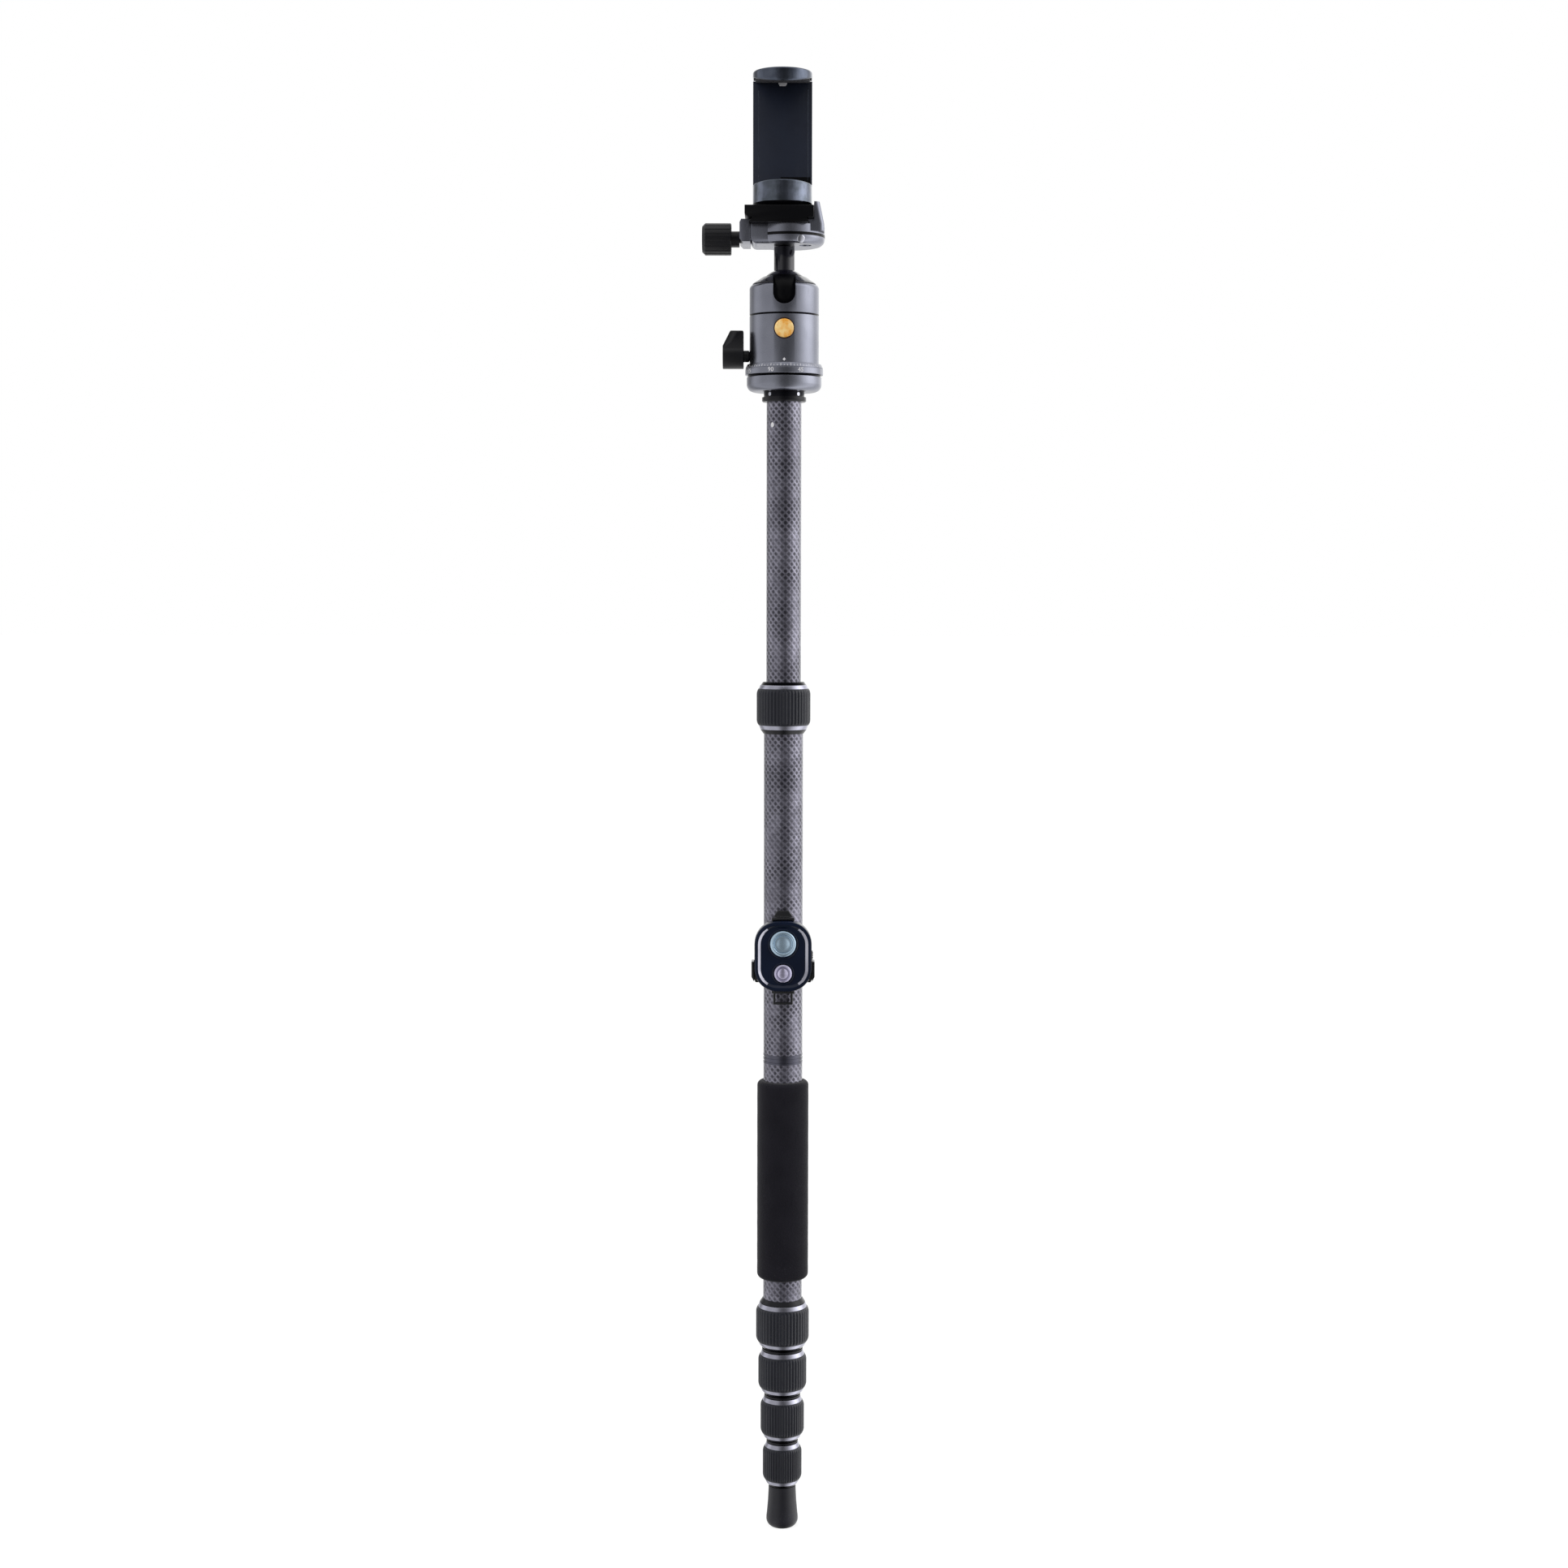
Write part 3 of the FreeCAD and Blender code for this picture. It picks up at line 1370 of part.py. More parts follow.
def release_plate():
    """The quick release plate with its dovetail foot, and the camera screw in it."""
    low = dovetail_low()
    edge_top = low + size("dovetail_edge")
    slope = size("dovetail_slope")
    body_low = neck_high()
    top = holder_low()
    left = dovetail_left()
    right = dovetail_right()
    body_left = size("dovetail_shift") - size("plate_width") / 2
    bevel = size("plate_bevel")
    half = size("plate_length") / 2
    middle = size("holder_shift")
    body = new_body("release_plate")
    sketch = new_sketch(body, "plate_outline", "XZ_Plane", -half)
    add_outline(sketch, [
        (left, low),
        (right, low),
        (right, edge_top),
        (right - slope, body_low),
        (plate_right(), body_low),
        (plate_right(), top),
        (body_left, top),
        (body_left, body_low + bevel),
        (body_left + bevel, body_low),
        (left + slope, body_low),
        (left, edge_top),
    ])
    pad(body, "plate_block", sketch, half * 2)
    hole = new_sketch(body, "plate_hole_outline", offset=low)
    add_circle(hole, middle, 0, size("screw_width") / 2 + size("clear_gap"))
    pocket(body, "plate_hole", hole, top - low + 1, ahead=True)
    pocket_outline = new_sketch(body, "screw_pocket_outline", offset=low)
    add_circle(pocket_outline, middle, 0, size("screw_head_width") / 2 + size("clear_gap"))
    pocket(body, "screw_pocket", pocket_outline, size("screw_pocket"), ahead=True)
    head_top = low + size("screw_pocket") - size("glue_gap")
    shaft = size("screw_width") / 2
    head = size("screw_head_width") / 2
    screw = turned("camera_screw", [
        (0, head_top - size("screw_head_height")),
        (head, head_top - size("screw_head_height")),
        (head, head_top),
        (shaft, head_top),
        (shaft, top + size("screw_reach")),
        (0, top + size("screw_reach")),
    ])
    place(screw, x=middle)


def jaw_shape(sketch, back, inset=0):
    """Draw the round-fronted outline of the phone holder's jaws."""
    half = size("holder_width") / 2 - inset
    front = size("holder_front") - inset
    centre = half - front
    middle = size("holder_shift")
    add_outline(sketch, [
        (middle + half, back),
        (middle - half, back),
        (middle - half, centre, half, "left"),
        (middle, -front, half, "left"),
        (middle + half, centre),
    ])


def phone_holder():
    """The phone holder's fixed body: lower jaw, back panel, tongue channel and spring channels."""
    low = holder_low() + size("glue_gap")
    front = size("panel_front")
    back = front + size("panel_thickness")
    half = size("holder_width") / 2
    middle = size("holder_shift")
    panel_top = jaw_ceiling() - size("clear_gap")
    body = new_body("holder_body")
    jaw = new_sketch(body, "lower_jaw_outline", offset=low)
    jaw_shape(jaw, back)
    pad(body, "lower_jaw", jaw, size("lower_jaw_height") - size("glue_gap"))
    panel = new_sketch(body, "panel_outline", offset=low)
    add_rectangle(panel, middle - half, middle + half, front, back)
    pad(body, "back_panel", panel, panel_top - low)
    corner = [middle.value - half.value, middle.value + half.value]
    soften(body, "panel_edges", size("panel_round"), lambda edge: upright_at(edge, corner, back.value))
    hole = new_sketch(body, "holder_thread_outline", offset=low)
    add_circle(hole, middle, 0, size("screw_width") / 2 + size("glue_gap"))
    pocket(body, "holder_thread", hole, size("screw_reach") + size("clear_gap"), ahead=True)
    channel = new_sketch(body, "tongue_channel_outline", offset=panel_top)
    wide = size("tongue_width") / 2 + size("clear_gap")
    near = front + (size("panel_thickness") - size("tongue_thickness")) / 2 - size("clear_gap")
    far = near + size("tongue_thickness") + size("clear_gap") * 2
    add_rectangle(channel, middle - wide, middle + wide, near, far)
    pocket(body, "tongue_channel", channel, size("tongue_length") + size("clear_gap"))
    for number, side in enumerate((-1, 1), start=1):
        seat = new_sketch(body, f"spring_channel_{number}_outline", offset=panel_top)
        x = middle + size("spring_spread") * side
        add_circle(seat, x, (front + back) / 2, size("spring_channel") / 2)
        pocket(body, f"spring_channel_{number}", seat, size("spring_length") + size("clear_gap"))


def upright_at(edge, columns, y):
    """Whether an edge is a vertical corner of the panel's back."""
    box = edge.BoundBox
    thin = box.XLength < 0.001 and box.YLength < 0.001
    return thin and abs(box.YMin - y) < 0.01 and min(abs(box.XMin - c) for c in columns) < 0.01


def upper_jaw():
    """The phone holder's sprung upper jaw with its tongue."""
    low = jaw_ceiling()
    front = size("panel_front")
    middle = size("holder_shift")
    back = front + size("panel_thickness")
    body = new_body("holder_upper_jaw")
    jaw = new_sketch(body, "upper_jaw_outline", offset=low)
    jaw_shape(jaw, back)
    pad(body, "upper_jaw_block", jaw, size("upper_jaw_height"))
    top = low + size("upper_jaw_height")
    soften(body, "upper_jaw_edges", size("upper_jaw_round"),
           lambda edge: lies_at(edge, "Z", top))
    tongue = new_sketch(body, "tongue_outline", offset=low + 1)
    half = size("tongue_width") / 2
    near = front + (size("panel_thickness") - size("tongue_thickness")) / 2
    add_rectangle(tongue, middle - half, middle + half, near, near + size("tongue_thickness"))
    pad(body, "tongue", tongue, size("tongue_length") + 1, back=True)


def jaw_pads():
    """The rubber pads on the phone holder's two jaws."""
    back = size("panel_front") - size("clear_gap")
    thickness = size("pad_thickness")
    for name, low in (
        ("lower_jaw_pad", jaw_floor() + size("glue_gap")),
        ("upper_jaw_pad", jaw_ceiling() - size("glue_gap") - thickness),
    ):
        body = new_body(name)
        sketch = new_sketch(body, f"{name}_outline", offset=low)
        jaw_shape(sketch, back, size("pad_inset"))
        pad(body, f"{name}_block", sketch, thickness)


def holder_springs():
    """The two springs that pull the upper jaw down, closed up as plain sleeves."""
    springs = []
    y = size("panel_front") + size("panel_thickness") / 2
    low = jaw_ceiling() - size("clear_gap") - size("spring_length")
    for number, side in enumerate((-1, 1), start=1):
        x = size("holder_shift") + size("spring_spread") * side
        springs.append(pipe(f"holder_spring_{number}", size("spring_width") / 2,
                            size("spring_bore") / 2, size("spring_length"), x, y, low))
    group("holder_springs", springs)


def remote_middle():
    """Height of the remote's middle."""
    return joint_high() + size("remote_height")


def tray_back():
    """Distance of the tray's back from the tube's axis."""
    return size("tube_width") / 2 + size("clip_wall")


def remote_back():
    """Distance of the remote's back from the tube's axis."""
    return tray_back() + size("tray_thickness") + size("clear_gap")


def remote_place(body, distance):
    """Stand a piece of the remote in front of the tube, facing the front."""
    place(body, y=-distance, z=remote_middle(), turn=FACING_FRONT)


def remote_clip():
    """The clip round the tube with the tray, wings, hook, shelf and loop that hold the remote."""
    body = new_body("remote_clip")
    half_width = size("remote_width") / 2
    half_length = size("remote_length") / 2
    inset = size("tray_inset")
    tray = new_sketch(body, "tray_outline")
    add_rounded(tray, half_width - inset, half_length - inset, size("remote_corner") - inset)
    pad(body, "tray", tray, size("tray_thickness"))
    wings = new_sketch(body, "wing_root_outline")
    wing_x = half_width + size("clear_gap") + size("wing_thickness")
    wing_low = -size("wing_drop") - size("wing_length") / 2
    wing_high = -size("wing_drop") + size("wing_length") / 2
    add_rectangle(wings, -wing_x, wing_x, wing_low, wing_high)
    pad(body, "wing_root", wings, size("tray_thickness"))
    for number, side in enumerate((-1, 1), start=1):
        wing = new_sketch(body, f"wing_{number}_outline")
        inner = half_width * side + size("clear_gap") * side
        ends = [inner, wing_x * side][::side]
        add_rectangle(wing, ends[0], ends[1], wing_low, wing_high)
        pad(body, f"wing_{number}", wing, size("tray_thickness") + size("wing_reach"))
    tray_tabs(body, half_length)
    tube_clip(body)
    remote_place(body, tray_back())


def tray_tabs(body, half_length):
    """The hook above the remote, and the shelf and lanyard loop below it."""
    gap = size("clear_gap")
    thick = size("hook_thickness")
    half = size("hook_width") / 2
    deep = size("tray_thickness") + size("hook_reach")
    inside = half_length - size("tray_inset") - 1
    hook_root = new_sketch(body, "hook_root_outline")
    add_outline(hook_root, [
        (-half, inside),
        (half, inside),
        (half, half_length + gap),
        (half / 2, half_length + gap + thick + size("hook_tip")),
        (-half / 2, half_length + gap + thick + size("hook_tip")),
        (-half, half_length + gap),
    ])
    pad(body, "hook_root", hook_root, size("tray_thickness"))
    hook = new_sketch(body, "hook_outline")
    add_rectangle(hook, -half, half, half_length + gap, half_length + gap + thick)
    pad(body, "hook", hook, deep)
    shelf_root = new_sketch(body, "shelf_root_outline")
    add_rectangle(shelf_root, -half, half, -half_length - gap - thick, -inside)
    pad(body, "shelf_root", shelf_root, size("tray_thickness"))
    shelf = new_sketch(body, "shelf_outline")
    add_rectangle(shelf, -half, half, -half_length - gap - thick, -half_length - gap)
    pad(body, "shelf", shelf, deep)
    loop = new_sketch(body, "loop_outline")
    loop_half = size("loop_width") / 2
    loop_low = -half_length - gap - thick - size("loop_height")
    wall = size("loop_wall")
    add_rectangle(loop, -loop_half, loop_half, loop_low, -half_length - gap - thick / 2)
    hole_high = -half_length - gap - thick
    add_rectangle(loop, wall - loop_half, loop_half - wall, loop_low + wall, hole_high)
    pad(body, "loop", loop, size("tray_thickness"))


def tube_clip(body):
    """The open ring that snaps on the tube."""
    inner = size("tube_width") / 2 + size("thread_gap")
    outer = size("tube_width") / 2 + size("clip_wall")
    half_height = size("clip_height") / 2
    mouth = size("clip_mouth") / 2
    axis = -tray_back()
    ring = new_sketch(body, "clip_outline", "XZ_Plane", -half_height)
    inner_end = axis - reach(inner, mouth)
    outer_end = axis - reach(outer, mouth)
    joined = size("tray_thickness") / 2
    foot = reach(outer, inner) + 1
    shoulder = axis + reach(outer, foot)
    add_outline(ring, [
        (mouth, inner_end),
        (mouth, outer_end, outer, "left"),
        (outer, axis, outer, "left"),
        (foot, shoulder),
        (foot, joined),
        (-foot, joined),
        (-foot, shoulder, outer, "left"),
        (-outer, axis, outer, "left"),
        (-mouth, outer_end),
        (-mouth, inner_end, inner, "right"),
        (-inner, axis, inner, "right"),
        (0, axis + inner, inner, "right"),
        (inner, axis, inner, "right"),
    ])
    pad(body, "clip", ring, half_height * 2)


def remote_shells():
    """The remote's back and front shells."""
    half_width = size("remote_width") / 2
    half_length = size("remote_length") / 2
    corner = size("remote_corner")
    wall = size("remote_wall")
    back = new_body("remote_back_shell")
    outline = new_sketch(back, "back_outline")
    add_rounded(outline, half_width, half_length, corner)
    pad(back, "back_block", outline, size("back_thickness"))
    soften(back, "back_edges", size("remote_edge"), lambda edge: lies_at(edge, "Z", 0))
    hollow = new_sketch(back, "back_hollow_outline", offset=size("back_thickness"))
    add_rounded(hollow, half_width - wall, half_length - wall, corner - wall)
    pocket(back, "back_hollow", hollow, size("back_thickness") - wall)
    remote_place(back, remote_back())
    front = new_body("remote_front_shell")
    outline = new_sketch(front, "front_outline")
    add_rounded(outline, half_width, half_length, corner)
    depth = size("front_thickness")
    pad(front, "front_block", outline, depth)
    soften(front, "front_edges", size("remote_edge"),
           lambda edge: lies_at(edge, "Z", depth))
    hollow = new_sketch(front, "front_hollow_outline")
    add_rounded(hollow, half_width - wall, half_length - wall, corner - wall)
    pocket(front, "front_hollow", hollow, depth - wall, ahead=True)
    for name, rise, width in button_list():
        hole = new_sketch(front, f"{name}_hole_outline")
        add_circle(hole, 0, rise, width / 2 + size("run_gap") * 2)
        pocket(front, f"{name}_hole", hole, depth + 1, ahead=True)
    slot = new_sketch(front, "switch_slot_outline", "YZ_Plane", half_width - wall - 1)
    half = size("switch_width") / 2 + size("thread_gap")
    low = size("switch_rise") - size("switch_length") / 2 - size("thread_gap")
    high = size("switch_rise") + size("switch_length") / 2 + size("switch_travel")
    middle = depth / 2
    add_rectangle(slot, low, high + size("thread_gap"), middle - half, middle + half)
    pocket(front, "switch_slot", slot, wall + 2, ahead=True)
    remote_place(front, remote_back() + size("back_thickness") + size("glue_gap"))


def button_list():
    """Name, height above the remote's middle and diameter of each button."""
    top = size("remote_length") / 2
    return [
        ("shutter_button_large", top - size("big_button_inset"), size("big_button_width")),
        ("shutter_button_small", size("small_button_inset") - top, size("small_button_width")),
    ]


def remote_face():
    """Distance of the remote's front face from the tube's axis."""
    return remote_back() + size("back_thickness") + size("glue_gap") + size("front_thickness")


def remote_buttons():
    """The two buttons with the flanges that keep them in the shell."""
    for name, rise, width in button_list():
        radius = width / 2
        bevel = size("button_proud") / 2
        flange = radius + size("button_flange")
        flange_high = size("button_flange_height")
        top = flange_high + size("clear_gap") + size("remote_wall") + size("button_proud")
        body = turned(name, [
            (0, 0),
            (flange, 0),
            (flange, flange_high),
            (radius, flange_high),
            (radius, top - bevel),
            (radius - bevel, top),
            (0, top),
        ])
        back = remote_face() + size("button_proud") - top
        place(body, y=-back, z=remote_middle() + rise, turn=FACING_FRONT)


def remote_inside():
    """The slide switch, the board with its domes and the button cell."""
    switch = new_body("power_switch")
    side = size("remote_width") / 2
    sketch = new_sketch(switch, "switch_outline", "YZ_Plane", side - size("remote_wall") - 1)
    half = size("switch_width") / 2
    low = size("switch_rise") - size("switch_length") / 2
    add_rectangle(sketch, low, low + size("switch_length"), -half, half)
    pad(switch, "switch_block", sketch, size("remote_wall") + 1 + size("switch_proud"))
    middle = remote_back() + size("back_thickness") + size("glue_gap") + size("front_thickness") / 2
    remote_place(switch, middle)
    board_front = remote_face() - size("remote_wall") - size("clear_gap") \
        - size("button_flange_height") - size("clear_gap") * 5
    board = new_body("remote_board")
    outline = new_sketch(board, "board_outline")
    inset = size("board_inset")
    add_rounded(outline, side - inset, size("remote_length") / 2 - inset, size("remote_corner") - inset)
    pad(board, "board_sheet", outline, size("board_thickness"))
    for name, rise, width in button_list():
        dome = new_sketch(board, f"{name}_dome_outline")
        add_circle(dome, 0, rise, size("dome_width") / 2)
        pad(board, f"{name}_dome", dome, size("board_thickness") + size("clear_gap") * 2)
    remote_place(board, board_front - size("board_thickness"))
    cell = turned("remote_cell", [
        (0, 0),
        (size("cell_width") / 2, 0),
        (size("cell_width") / 2, size("cell_thickness")),
        (0, size("cell_thickness")),
    ])
    remote_place(cell, remote_back() + size("remote_wall") + size("glue_gap"))


def build():
    """Build every piece, from the foot to the phone holder."""
    make_sheet()
    for number in range(1, TUBES + 1):
        leg_section(number)
    for number in range(1, TUBES):
        twist_lock(number, tube_radius(number))
    foot()
    foam_grip()
    column_joint()
    column_tubes()
    twist_lock(0, tube_radius(1))
    top_plate()
    pan_base()
    head_housing()
    ball_parts()
    tension_cap()
    pan_knob()
    lock_knob()
    clamp_body()
    clamp_jaw()
    clamp_knob()
    release_plate()
    phone_holder()
    upper_jaw()
    jaw_pads()
    holder_springs()
    remote_clip()
    remote_shells()
    remote_buttons()
    remote_inside()
    doc.recompute()


def check():
    """Stop where an object failed, a piece is not sound or a cut took nothing away."""
    for item in doc.Objects:
        if "Invalid" in item.State or "Error" in item.State:
            raise RuntimeError(f"{item.Name} ({item.Label}) failed: {item.State}")
    for feature in cuts:
        before = feature.BaseFeature.Shape.Volume
        if before - feature.Shape.Volume < 0.001:
            raise RuntimeError(f"{feature.Name} cuts nothing")
    for piece in pieces:
        if piece.Shape.isNull() or not piece.Shape.isValid() or not piece.Shape.Solids:
            raise RuntimeError(f"{piece.Label} is not a sound solid")


def write():
    """Write each piece to its own file."""
    os.makedirs("parts", exist_ok=True)
    for piece in pieces:
        piece.Shape.exportStep(f"parts/{piece.Label}.step")
        box = piece.Shape.BoundBox
        print(f"{piece.Label:24s} solids {len(piece.Shape.Solids)} volume {piece.Shape.Volume:10.1f} "
              f"x {box.XMin:7.2f} {box.XMax:7.2f} y {box.YMin:7.2f} {box.YMax:7.2f} "
              f"z {box.ZMin:7.2f} {box.ZMax:7.2f}")
    print(len(pieces), "pieces written")


build()
check()
write()
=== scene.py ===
"""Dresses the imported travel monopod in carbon, metal, rubber and foam, and stands it in a plain studio."""

import logging
import math
from collections.abc import Callable, Iterator, Mapping, Sequence
from contextlib import contextmanager
from dataclasses import dataclass, replace
from enum import Enum
from functools import cache

import bmesh
import bpy
from mathutils import Matrix, Vector

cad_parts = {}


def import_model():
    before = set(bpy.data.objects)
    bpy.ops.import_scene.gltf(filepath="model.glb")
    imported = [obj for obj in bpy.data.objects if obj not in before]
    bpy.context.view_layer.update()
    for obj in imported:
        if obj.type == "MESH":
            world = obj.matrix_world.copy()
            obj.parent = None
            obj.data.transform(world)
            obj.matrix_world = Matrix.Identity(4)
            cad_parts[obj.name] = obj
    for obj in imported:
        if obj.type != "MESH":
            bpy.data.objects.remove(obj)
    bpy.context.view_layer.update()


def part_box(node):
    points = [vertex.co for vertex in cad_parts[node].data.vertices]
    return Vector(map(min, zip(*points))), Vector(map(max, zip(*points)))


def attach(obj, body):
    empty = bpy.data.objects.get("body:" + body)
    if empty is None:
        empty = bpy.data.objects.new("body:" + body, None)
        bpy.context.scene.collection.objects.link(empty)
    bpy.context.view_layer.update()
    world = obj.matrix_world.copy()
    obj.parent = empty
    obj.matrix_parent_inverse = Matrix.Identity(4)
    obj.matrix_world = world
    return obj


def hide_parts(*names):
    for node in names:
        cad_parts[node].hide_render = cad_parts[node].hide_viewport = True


LOG = logging.getLogger("monopod")
MM = 0.001
FULL_TURN = 2 * math.pi
Point = tuple[float, float]
Triple = tuple[float, float, float]
Outline = list[Point]
Piece = bpy.types.Object
NodeTree = bpy.types.NodeTree
Socket = bpy.types.NodeSocket


class Facing(Enum):
    """The way that the axis of a turned piece points."""

    UP = (0.0, 0.0, 0.0)
    FRONT = (math.pi / 2, 0.0, 0.0)


class Slot(Enum):
    """The record's material slots, which the new pieces name."""

    CARBON = "carbon_weave"
    GUNMETAL = "gunmetal"
    BLACK_METAL = "black_metal"
    BRIGHT_METAL = "bright_metal"
    ORANGE_METAL = "orange_metal"
    GRIP_RUBBER = "grip_rubber"
    FOAM = "foam"
    PAD_RUBBER = "pad_rubber"
    BLACK_PLASTIC = "black_plastic"
    REMOTE_GLOSS = "remote_gloss"
    BUTTON_BLUE = "button_blue"
    BUTTON_VIOLET = "button_violet"


# mesh tools


def drop_all() -> None:
    """Deselect every object."""
    for other in list(bpy.context.selected_objects):
        other.select_set(False)


def take(piece: Piece) -> None:
    """Select one piece and nothing else.

    Args:
        piece: the piece.
    """
    drop_all()
    piece.select_set(True)
    bpy.context.view_layer.objects.active = piece


def begin(add: Callable[..., set[str]], name: str, **settings: object) -> Piece:
    """Add an object with nothing else selected.

    Args:
        add: Blender's operator for it.
        name: the object's name.
        settings: the operator's settings.

    Returns:
        The object.
    """
    drop_all()
    add(**settings)
    piece = bpy.context.object
    piece.name = name
    return piece


@contextmanager
def editing(piece: Piece) -> Iterator[None]:
    """Hold a piece in edit mode, all of its mesh selected at first.

    Args:
        piece: the piece.

    Yields:
        Nothing.
    """
    take(piece)
    bpy.ops.object.mode_set(mode="EDIT")
    bpy.ops.mesh.select_mode(type="VERT")
    select_mesh()
    yield
    bpy.ops.object.mode_set(mode="OBJECT")


def select_mesh() -> None:
    """Select the whole mesh in edit mode."""
    bpy.ops.mesh.select_all(action="SELECT")


def face_outwards() -> None:
    """Turn every face of the mesh in edit mode outwards."""
    select_mesh()
    bpy.ops.mesh.normals_make_consistent(inside=False)


def extrude(move: Sequence[float]) -> None:
    """Extrude what is selected by a move in metres."""
    bpy.ops.mesh.extrude_region_move(TRANSFORM_OT_translate={"value": move})


def stretch(x: float, y: float, about: Sequence[float] = (0, 0, 0)) -> None:
    """Scale what is selected across and deep, about a point in millimetres."""
    bpy.ops.transform.resize(value=(x, y, 1), center_override=Vector(about) * MM)


def choose(piece: Piece, wanted: Callable[[Vector], bool]) -> None:
    """Select the vertices of a piece in edit mode that a test picks.

    Args:
        piece: the piece.
        wanted: a test of a vertex's place, in millimetres.
    """
    bpy.ops.mesh.select_mode(type="VERT")
    mesh = bmesh.from_edit_mesh(piece.data)
    for vertex in mesh.verts:
        vertex.select_set(bool(wanted(vertex.co / MM)))
    mesh.select_flush_mode()
    bmesh.update_edit_mesh(piece.data)


def choose_edges(piece: Piece, wanted: Callable[[Vector, Vector], bool]) -> None:
    """Select the edges of a piece in edit mode that a test picks.

    Args:
        piece: the piece.
        wanted: a test of an edge's two ends, in millimetres.
    """
    bpy.ops.mesh.select_all(action="DESELECT")
    bpy.ops.mesh.select_mode(type="EDGE")
    mesh = bmesh.from_edit_mesh(piece.data)
    for edge in mesh.edges:
        edge.select_set(bool(wanted(*(vertex.co / MM for vertex in edge.verts))))
    bmesh.update_edit_mesh(piece.data)


def settle(piece: Piece) -> None:
    """Apply a piece's place, turn and scale to its mesh."""
    take(piece)
    bpy.ops.object.transform_apply(location=True, rotation=True, scale=True)


def smooth(piece: Piece, angle: float) -> None:
    """Shade a piece smooth, with hard edges above an angle in degrees."""
    take(piece)
    bpy.ops.object.shade_smooth_by_angle(angle=math.radians(angle))


def bulge(start: Point, end: Point, radius: float, steps: int = 6) -> Outline:
    """Points on an arc between two points of an outline, bent to the right of the way there.

    Args:
        start: first point (radius, height), in millimetres.
        end: last point.
        radius: the arc's radius.
        steps: pieces of the arc.

    Returns:
        The points after start, up to and with end.
    """
    a, b = Vector(start), Vector(end)
    chord = b - a
    reach = math.sqrt(max(radius * radius - chord.length_squared / 4, 0.0))
    centre = (a + b) / 2 + Vector((-chord.y, chord.x)).normalized() * reach
    first = math.atan2(a.y - centre.y, a.x - centre.x)
    last = math.atan2(b.y - centre.y, b.x - centre.x)
    sweep = (last - first + math.pi) % FULL_TURN - math.pi
    angles = [first + sweep * k / steps for k in range(1, steps + 1)]
    return [(centre.x + radius * math.cos(t), centre.y + radius * math.sin(t)) for t in angles]


def turned(name: str, outline: Outline, steps: int = 96, place: Sequence[float] = (0, 0, 0),
           facing: Facing = Facing.UP, closed: bool = True, crease: float | None = 40) -> Piece:
    """Turn an outline round an axis, as on a lathe.

    Args:
        name: the piece's name.
        outline: (radius, height) points in millimetres.
        steps: facets round the axis.
        place: the axis's start, in millimetres.
        facing: the way that the axis points.
        closed: whether the last point joins the first.
        crease: edges sharper than this many degrees stay hard, or None to leave the shading.

    Returns:
        The piece, with its place in its mesh.
    """
    piece = begin(bpy.ops.mesh.primitive_plane_add, name, size=MM, location=(0, 0, 0))
    points = [Vector((r * MM, 0, z * MM)) for r, z in outline]
    if closed:
        points.append(points[0])
    with editing(piece):
        bpy.ops.mesh.merge(type="CENTER")
        bpy.ops.transform.translate(value=points[0])
        for here, there in zip(points, points[1:]):
            bpy.ops.mesh.extrude_vertices_move(TRANSFORM_OT_translate={"value": there - here})
        select_mesh()
        bpy.ops.mesh.remove_doubles(threshold=1e-7)
        bpy.ops.mesh.spin(steps=steps, angle=FULL_TURN, center=(0, 0, 0), axis=(0, 0, 1))
        select_mesh()
        bpy.ops.mesh.remove_doubles(threshold=2e-6)
        face_outwards()
    piece.rotation_euler = facing.value
    piece.location = Vector(place) * MM
    settle(piece)
    if crease is not None:
        smooth(piece, crease)
    return piece


def block(name: str, low: Sequence[float], high: Sequence[float], edge: float) -> Piece:
    """A small block with softened edges.

    Args:
        name: the piece's name.
        low: its lowest corner, in millimetres.
        high: its highest corner.
        edge: the rounding of its edges.

    Returns:
        The piece, with its place in its mesh.
    """
    a, b = Vector(low) * MM, Vector(high) * MM
    piece = begin(bpy.ops.mesh.primitive_cube_add, name, size=1, location=(a + b) / 2)
    piece.scale = b - a
    settle(piece)
    with editing(piece):
        bpy.ops.mesh.bevel(offset=edge * MM, segments=3, affect="EDGES")
    return piece


def softened(node: str, name: str, edge: float, segments: int = 2, angle: float = 32.0,
             shape: Callable[[Piece], None] | None = None) -> Piece:
    """A copy of a CAD node with its hard edges softened.

    Args:
        node: the CAD node.
        name: the piece's name.
        edge: the width of the softened edge, in millimetres.
        segments: steps across the edge.
        angle: edges sharper than this many degrees are softened.
        shape: what is done to the copy in edit mode before its edges are softened.

    Returns:
        The piece.
    """
    source = bpy.data.objects[node]
    hidden = source.hide_get()
    source.hide_set(False)
    take(source)
    bpy.ops.object.duplicate(linked=False)
    piece = bpy.context.object
    source.hide_set(hidden)
    piece.name = name
    piece.parent = None
    for key in list(piece.keys()):
        del piece[key]
    with editing(piece):
        bpy.ops.mesh.remove_doubles(threshold=2e-6)
        bpy.ops.mesh.dissolve_limited(angle_limit=math.radians(0.4))
        if shape is not None:
            shape(piece)
    bevel = piece.modifiers.new("soft_edges", "BEVEL")
    bevel.limit_method = "ANGLE"
    bevel.angle_limit = math.radians(angle)
    bevel.width = edge * MM
    bevel.segments = segments
    bevel.harden_normals = False
    bpy.ops.object.modifier_apply(modifier=bevel.name)
    smooth(piece, angle)
    return piece


